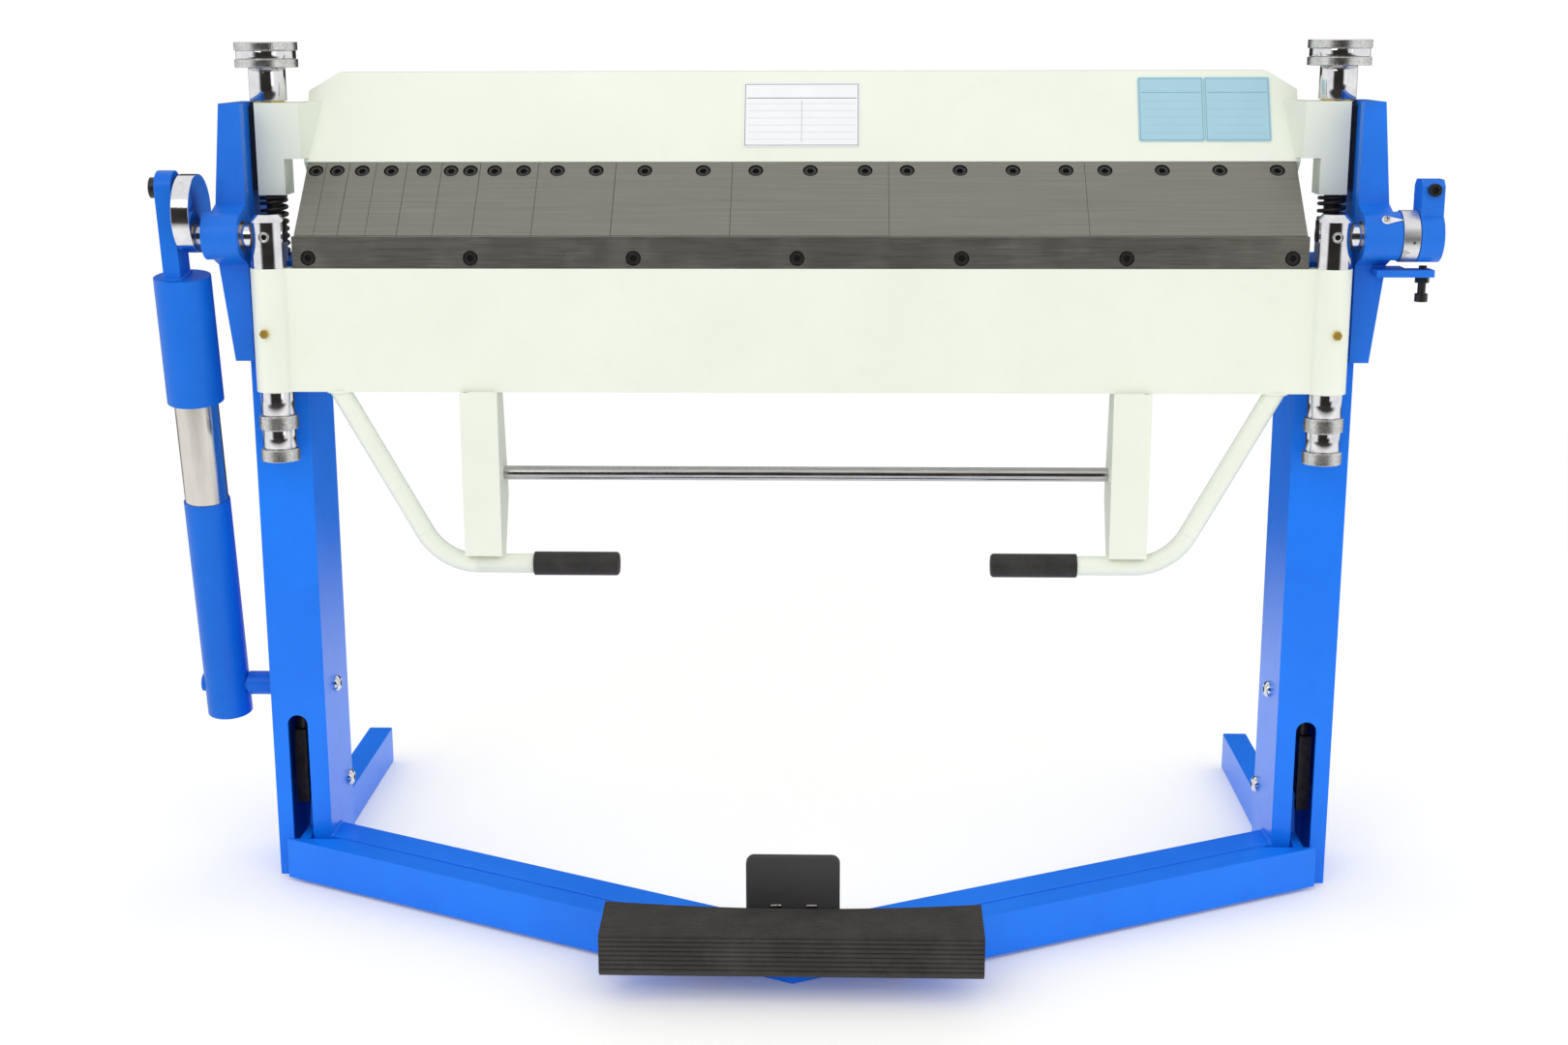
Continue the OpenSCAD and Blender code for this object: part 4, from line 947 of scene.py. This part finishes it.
def bead(name, points, radius, material, body):
    lengths = [(b - a).length for a, b in zip(points, points[1:])]
    total = sum(lengths)
    steps = max(welds["fewest"], int(total / welds["step"]))
    path = []
    for k in range(steps + 1):
        want = total * k / steps
        i = 0
        while i < len(lengths) - 1 and want > lengths[i]:
            want -= lengths[i]
            i += 1
        path.append(points[i].lerp(points[i + 1], min(1, want / lengths[i])))

    def ripple(share):
        wave = abs(math.sin(share * steps * welds["rippleTurn"]))
        return 1 - welds["ripple"] + welds["ripple"] * wave

    work = bmesh.new()
    sweepOn(work, path, radius, welds["sides"], ripple)
    settle(name, work, material, body)


def makeLegWelds():
    stretcherTop = box["front_stretcher"][1].z
    feetLow, feetHigh = box["rear_feet"]
    for tag, side in (("left", -1), ("right", 1)):
        legLow, legHigh = box["leg_" + tag]
        inner = legHigh.x if side < 0 else legLow.x
        front = legLow.y + welds["legIn"]
        run = [Vector((inner, front, welds["legUp"])), Vector((inner, front, stretcherTop)),
               Vector((inner, legLow.y + welds["legBack"], stretcherTop))]
        bead("leg_weld_" + tag, run, welds["leg"], "legPaint", "frame")
        outer = feetHigh.x if side > 0 else feetLow.x
        inside = outer - side * welds["footWide"]
        low, high = welds["footUp"], feetHigh.z
        corners = [(outer, low), (outer, high), (inside, high), (inside, low)]
        hoop = [Vector((x, feetLow.y, z)) for x, z in corners]
        bead("foot_weld_" + tag, hoop, welds["foot"], "legPaint", "frame")


def makeHandleWelds():
    low, high = box["apron_handles"]
    panelLow = box["apron_panel"][0].z - welds["handleDown"]
    steps, out = welds["handleSteps"], welds["handleOut"]
    turns = [2 * math.pi * k / steps for k in range(steps + 1)]
    for tag, x in (("left", low.x + welds["handleLong"]), ("right", high.x - welds["handleLong"])):
        hoop = [Vector((x + (welds["handleLong"] + out) * math.cos(turn),
                        (welds["handleWide"] + out) * math.sin(turn), panelLow)) for turn in turns]
        bead("handle_weld_" + tag, hoop, welds["handle"], "creamPaint", "apron")


# where the lever stands on the strut's cap
def makeLeverWeld():
    foot, axis = strutLine()
    lean = axis.cross(Vector((1, 0, 0)))
    near = box["crank_bolt"][0].x + welds["leverFrom"]
    far = near + welds["leverThick"]
    half = welds["leverHalf"]
    spokes = [vertex.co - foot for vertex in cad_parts["strut_head"].data.vertices]
    capTop = max(spoke.dot(axis) for spoke in spokes if abs(spoke.dot(lean)) > welds["capFrom"])
    corners = [(near, -half), (far, -half), (far, half), (near, half), (near, -half)]
    hoop = [foot + axis * capTop + lean * v + Vector((x - foot.x, 0, 0)) for x, v in corners]
    bead("lever_weld", hoop, welds["lever"], "strutPaint", "strut_upper")


def makePlateWelds():
    y = box["release_plate"][0].y - welds["plateIn"]
    for number, x in enumerate(welds["plateFrom"]):
        run = [Vector((x, y, welds["plateAt"])),
               Vector((x + welds["plateLong"], y, welds["plateAt"] + welds["plateRise"]))]
        bead("plate_weld_%d" % number, run, welds["plate"], "weldSteel", "pedal")


makeLegWelds()
makeHandleWelds()
makeLeverWeld()
makePlateWelds()
print("welds laid")

# the floor is white paper, lifted a little, which fades into the white sky between near and far
studio = {"floor": (0.985, 0.975, 0.950), "fleck": (0.85, 0.85, 0.85), "fleckShare": 0.03, "half": 40,
          "sky": 1.0, "lift": 0.07, "near": 1.4, "far": 4.0}
white = (1.0, 1.0, 1.0, 1.0)


def flatPiece(name, corners):
    mesh = bpy.data.meshes.new(name)
    mesh.from_pydata(corners, [], [(0, 1, 2, 3)])
    piece = bpy.data.objects.new(name, mesh)
    bpy.context.scene.collection.objects.link(piece)
    return piece


def makeFloor():
    half = studio["half"]
    floor = flatPiece("floor", [(-half, -half, 0), (half, -half, 0), (half, half, 0), (-half, half, 0)])
    finish = Finish("floorPaper", specular=0.2)
    grain = finish.noise(finish.place(), 60.0, 4.0)
    finish.shader.inputs["Emission Color"].default_value = white
    finish.shader.inputs["Emission Strength"].default_value = studio["lift"]
    colour = finish.mix(grain * studio["fleckShare"], studio["floor"], studio["fleck"])
    floor.data.materials.append(finish.wear(colour=colour, roughness=0.9))
    x, y, _ = finish.axes()
    away = ((x * x + y * y) ** 0.5).ramp(studio["near"], studio["far"])
    glow = finish.node("Emission", None, {"Color": white, "Strength": studio["sky"]})
    paper = Wire(finish, finish.shader.outputs["BSDF"])
    faded = finish.node("MixShader", None, {0: away, 1: paper, 2: glow})
    finish.tree.links.new(faded.socket, finish.tree.nodes["Material Output"].inputs["Surface"])


lamps = {
    "key": {"place": (-1.6, -3.2, 2.8), "aim": (0, 0, 0.6), "size": (1.6, 1.2), "power": 14.0},
    "fill": {"place": (2.2, -2.8, 1.6), "aim": (0, 0, 0.7), "size": (1.2, 1.6), "power": 5.0},
}


def makeLamp(name, look):
    lamp = bpy.data.lights.new(name, "AREA")
    lamp.shape = "RECTANGLE"
    lamp.size, lamp.size_y = look["size"]
    lamp.energy = look["power"]
    holder = bpy.data.objects.new(name, lamp)
    holder.location = look["place"]
    aim = Vector(look["aim"]) - Vector(look["place"])
    holder.rotation_euler = aim.to_track_quat("-Z", "Y").to_euler()
    bpy.context.scene.collection.objects.link(holder)


# dark cards that only reflections see, so that bright steel has something to mirror. One stands and one
# lies in front of the machine and behind it, and they fade from cardFade of the way out to their edges
cards = {
    "": {"away": 5.2, "above": 1.6, "size": (11.0, 6.0), "shade": (0.030, 0.027, 0.024), "lean": 0},
    "Ground": {"away": 3.744, "above": 0.012, "size": (9.0, 5.6), "shade": (0.040, 0.036, 0.032), "lean": 90},
}
cardFade = 0.6


def makeCard(name, side, look):
    w, h = look["size"][0] / 2, look["size"][1] / 2
    piece = flatPiece("card_" + name, [(-w, 0, -h), (w, 0, -h), (w, 0, h), (-w, 0, h)])
    piece.location = (0.0, side * look["away"], look["above"])
    piece.rotation_euler = (math.radians(look["lean"]), 0, 0)
    finish = Finish("card_" + name, specular=0.0)
    x, _, z = finish.axes()
    dense = (1 - abs(x).ramp(cardFade * w, w)) * (1 - abs(z).ramp(cardFade * h, h))
    piece.data.materials.append(finish.wear(colour=look["shade"], roughness=1.0, alpha=dense))
    piece.visible_camera = False
    piece.visible_diffuse = False
    piece.visible_shadow = False


def makeSky():
    world = bpy.data.worlds.new("studio")
    bpy.context.scene.world = world
    world.use_nodes = True
    sky = world.node_tree.nodes["Background"]
    sky.inputs["Color"].default_value = white
    sky.inputs["Strength"].default_value = studio["sky"]
    bpy.context.scene.view_settings.view_transform = "Standard"


# down, turn and roll are in degrees, sensor and lens in mm
shot = {"place": (0.0621, -2.6455, 1.1188), "down": 13.04097, "turn": -1.722788, "roll": -0.142876,
        "sensor": 36, "lens": 48.326}


def makeCamera():
    down, turn, roll = (math.radians(shot[key]) for key in ("down", "turn", "roll"))
    ahead = Vector((math.sin(turn) * math.cos(down), math.cos(turn) * math.cos(down), -math.sin(down)))
    level = Vector((math.cos(turn), -math.sin(turn), 0))
    above = level.cross(ahead)
    right = level * math.cos(roll) + above * math.sin(roll)
    up = above * math.cos(roll) - level * math.sin(roll)
    camera = bpy.data.objects.new("camera", bpy.data.cameras.new("camera"))
    camera.data.sensor_width = shot["sensor"]
    camera.data.lens = shot["lens"]
    turned = Matrix((right, up, -ahead)).transposed().to_4x4()
    camera.matrix_world = Matrix.Translation(shot["place"]) @ turned
    bpy.context.scene.collection.objects.link(camera)
    bpy.context.scene.camera = camera


makeFloor()
makeSky()
for name, look in lamps.items():
    makeLamp(name, look)
for stem, side in (("front", -1), ("back", 1)):
    for name, look in cards.items():
        makeCard(stem + name, side, look)
makeCamera()
print("studio and camera ready")
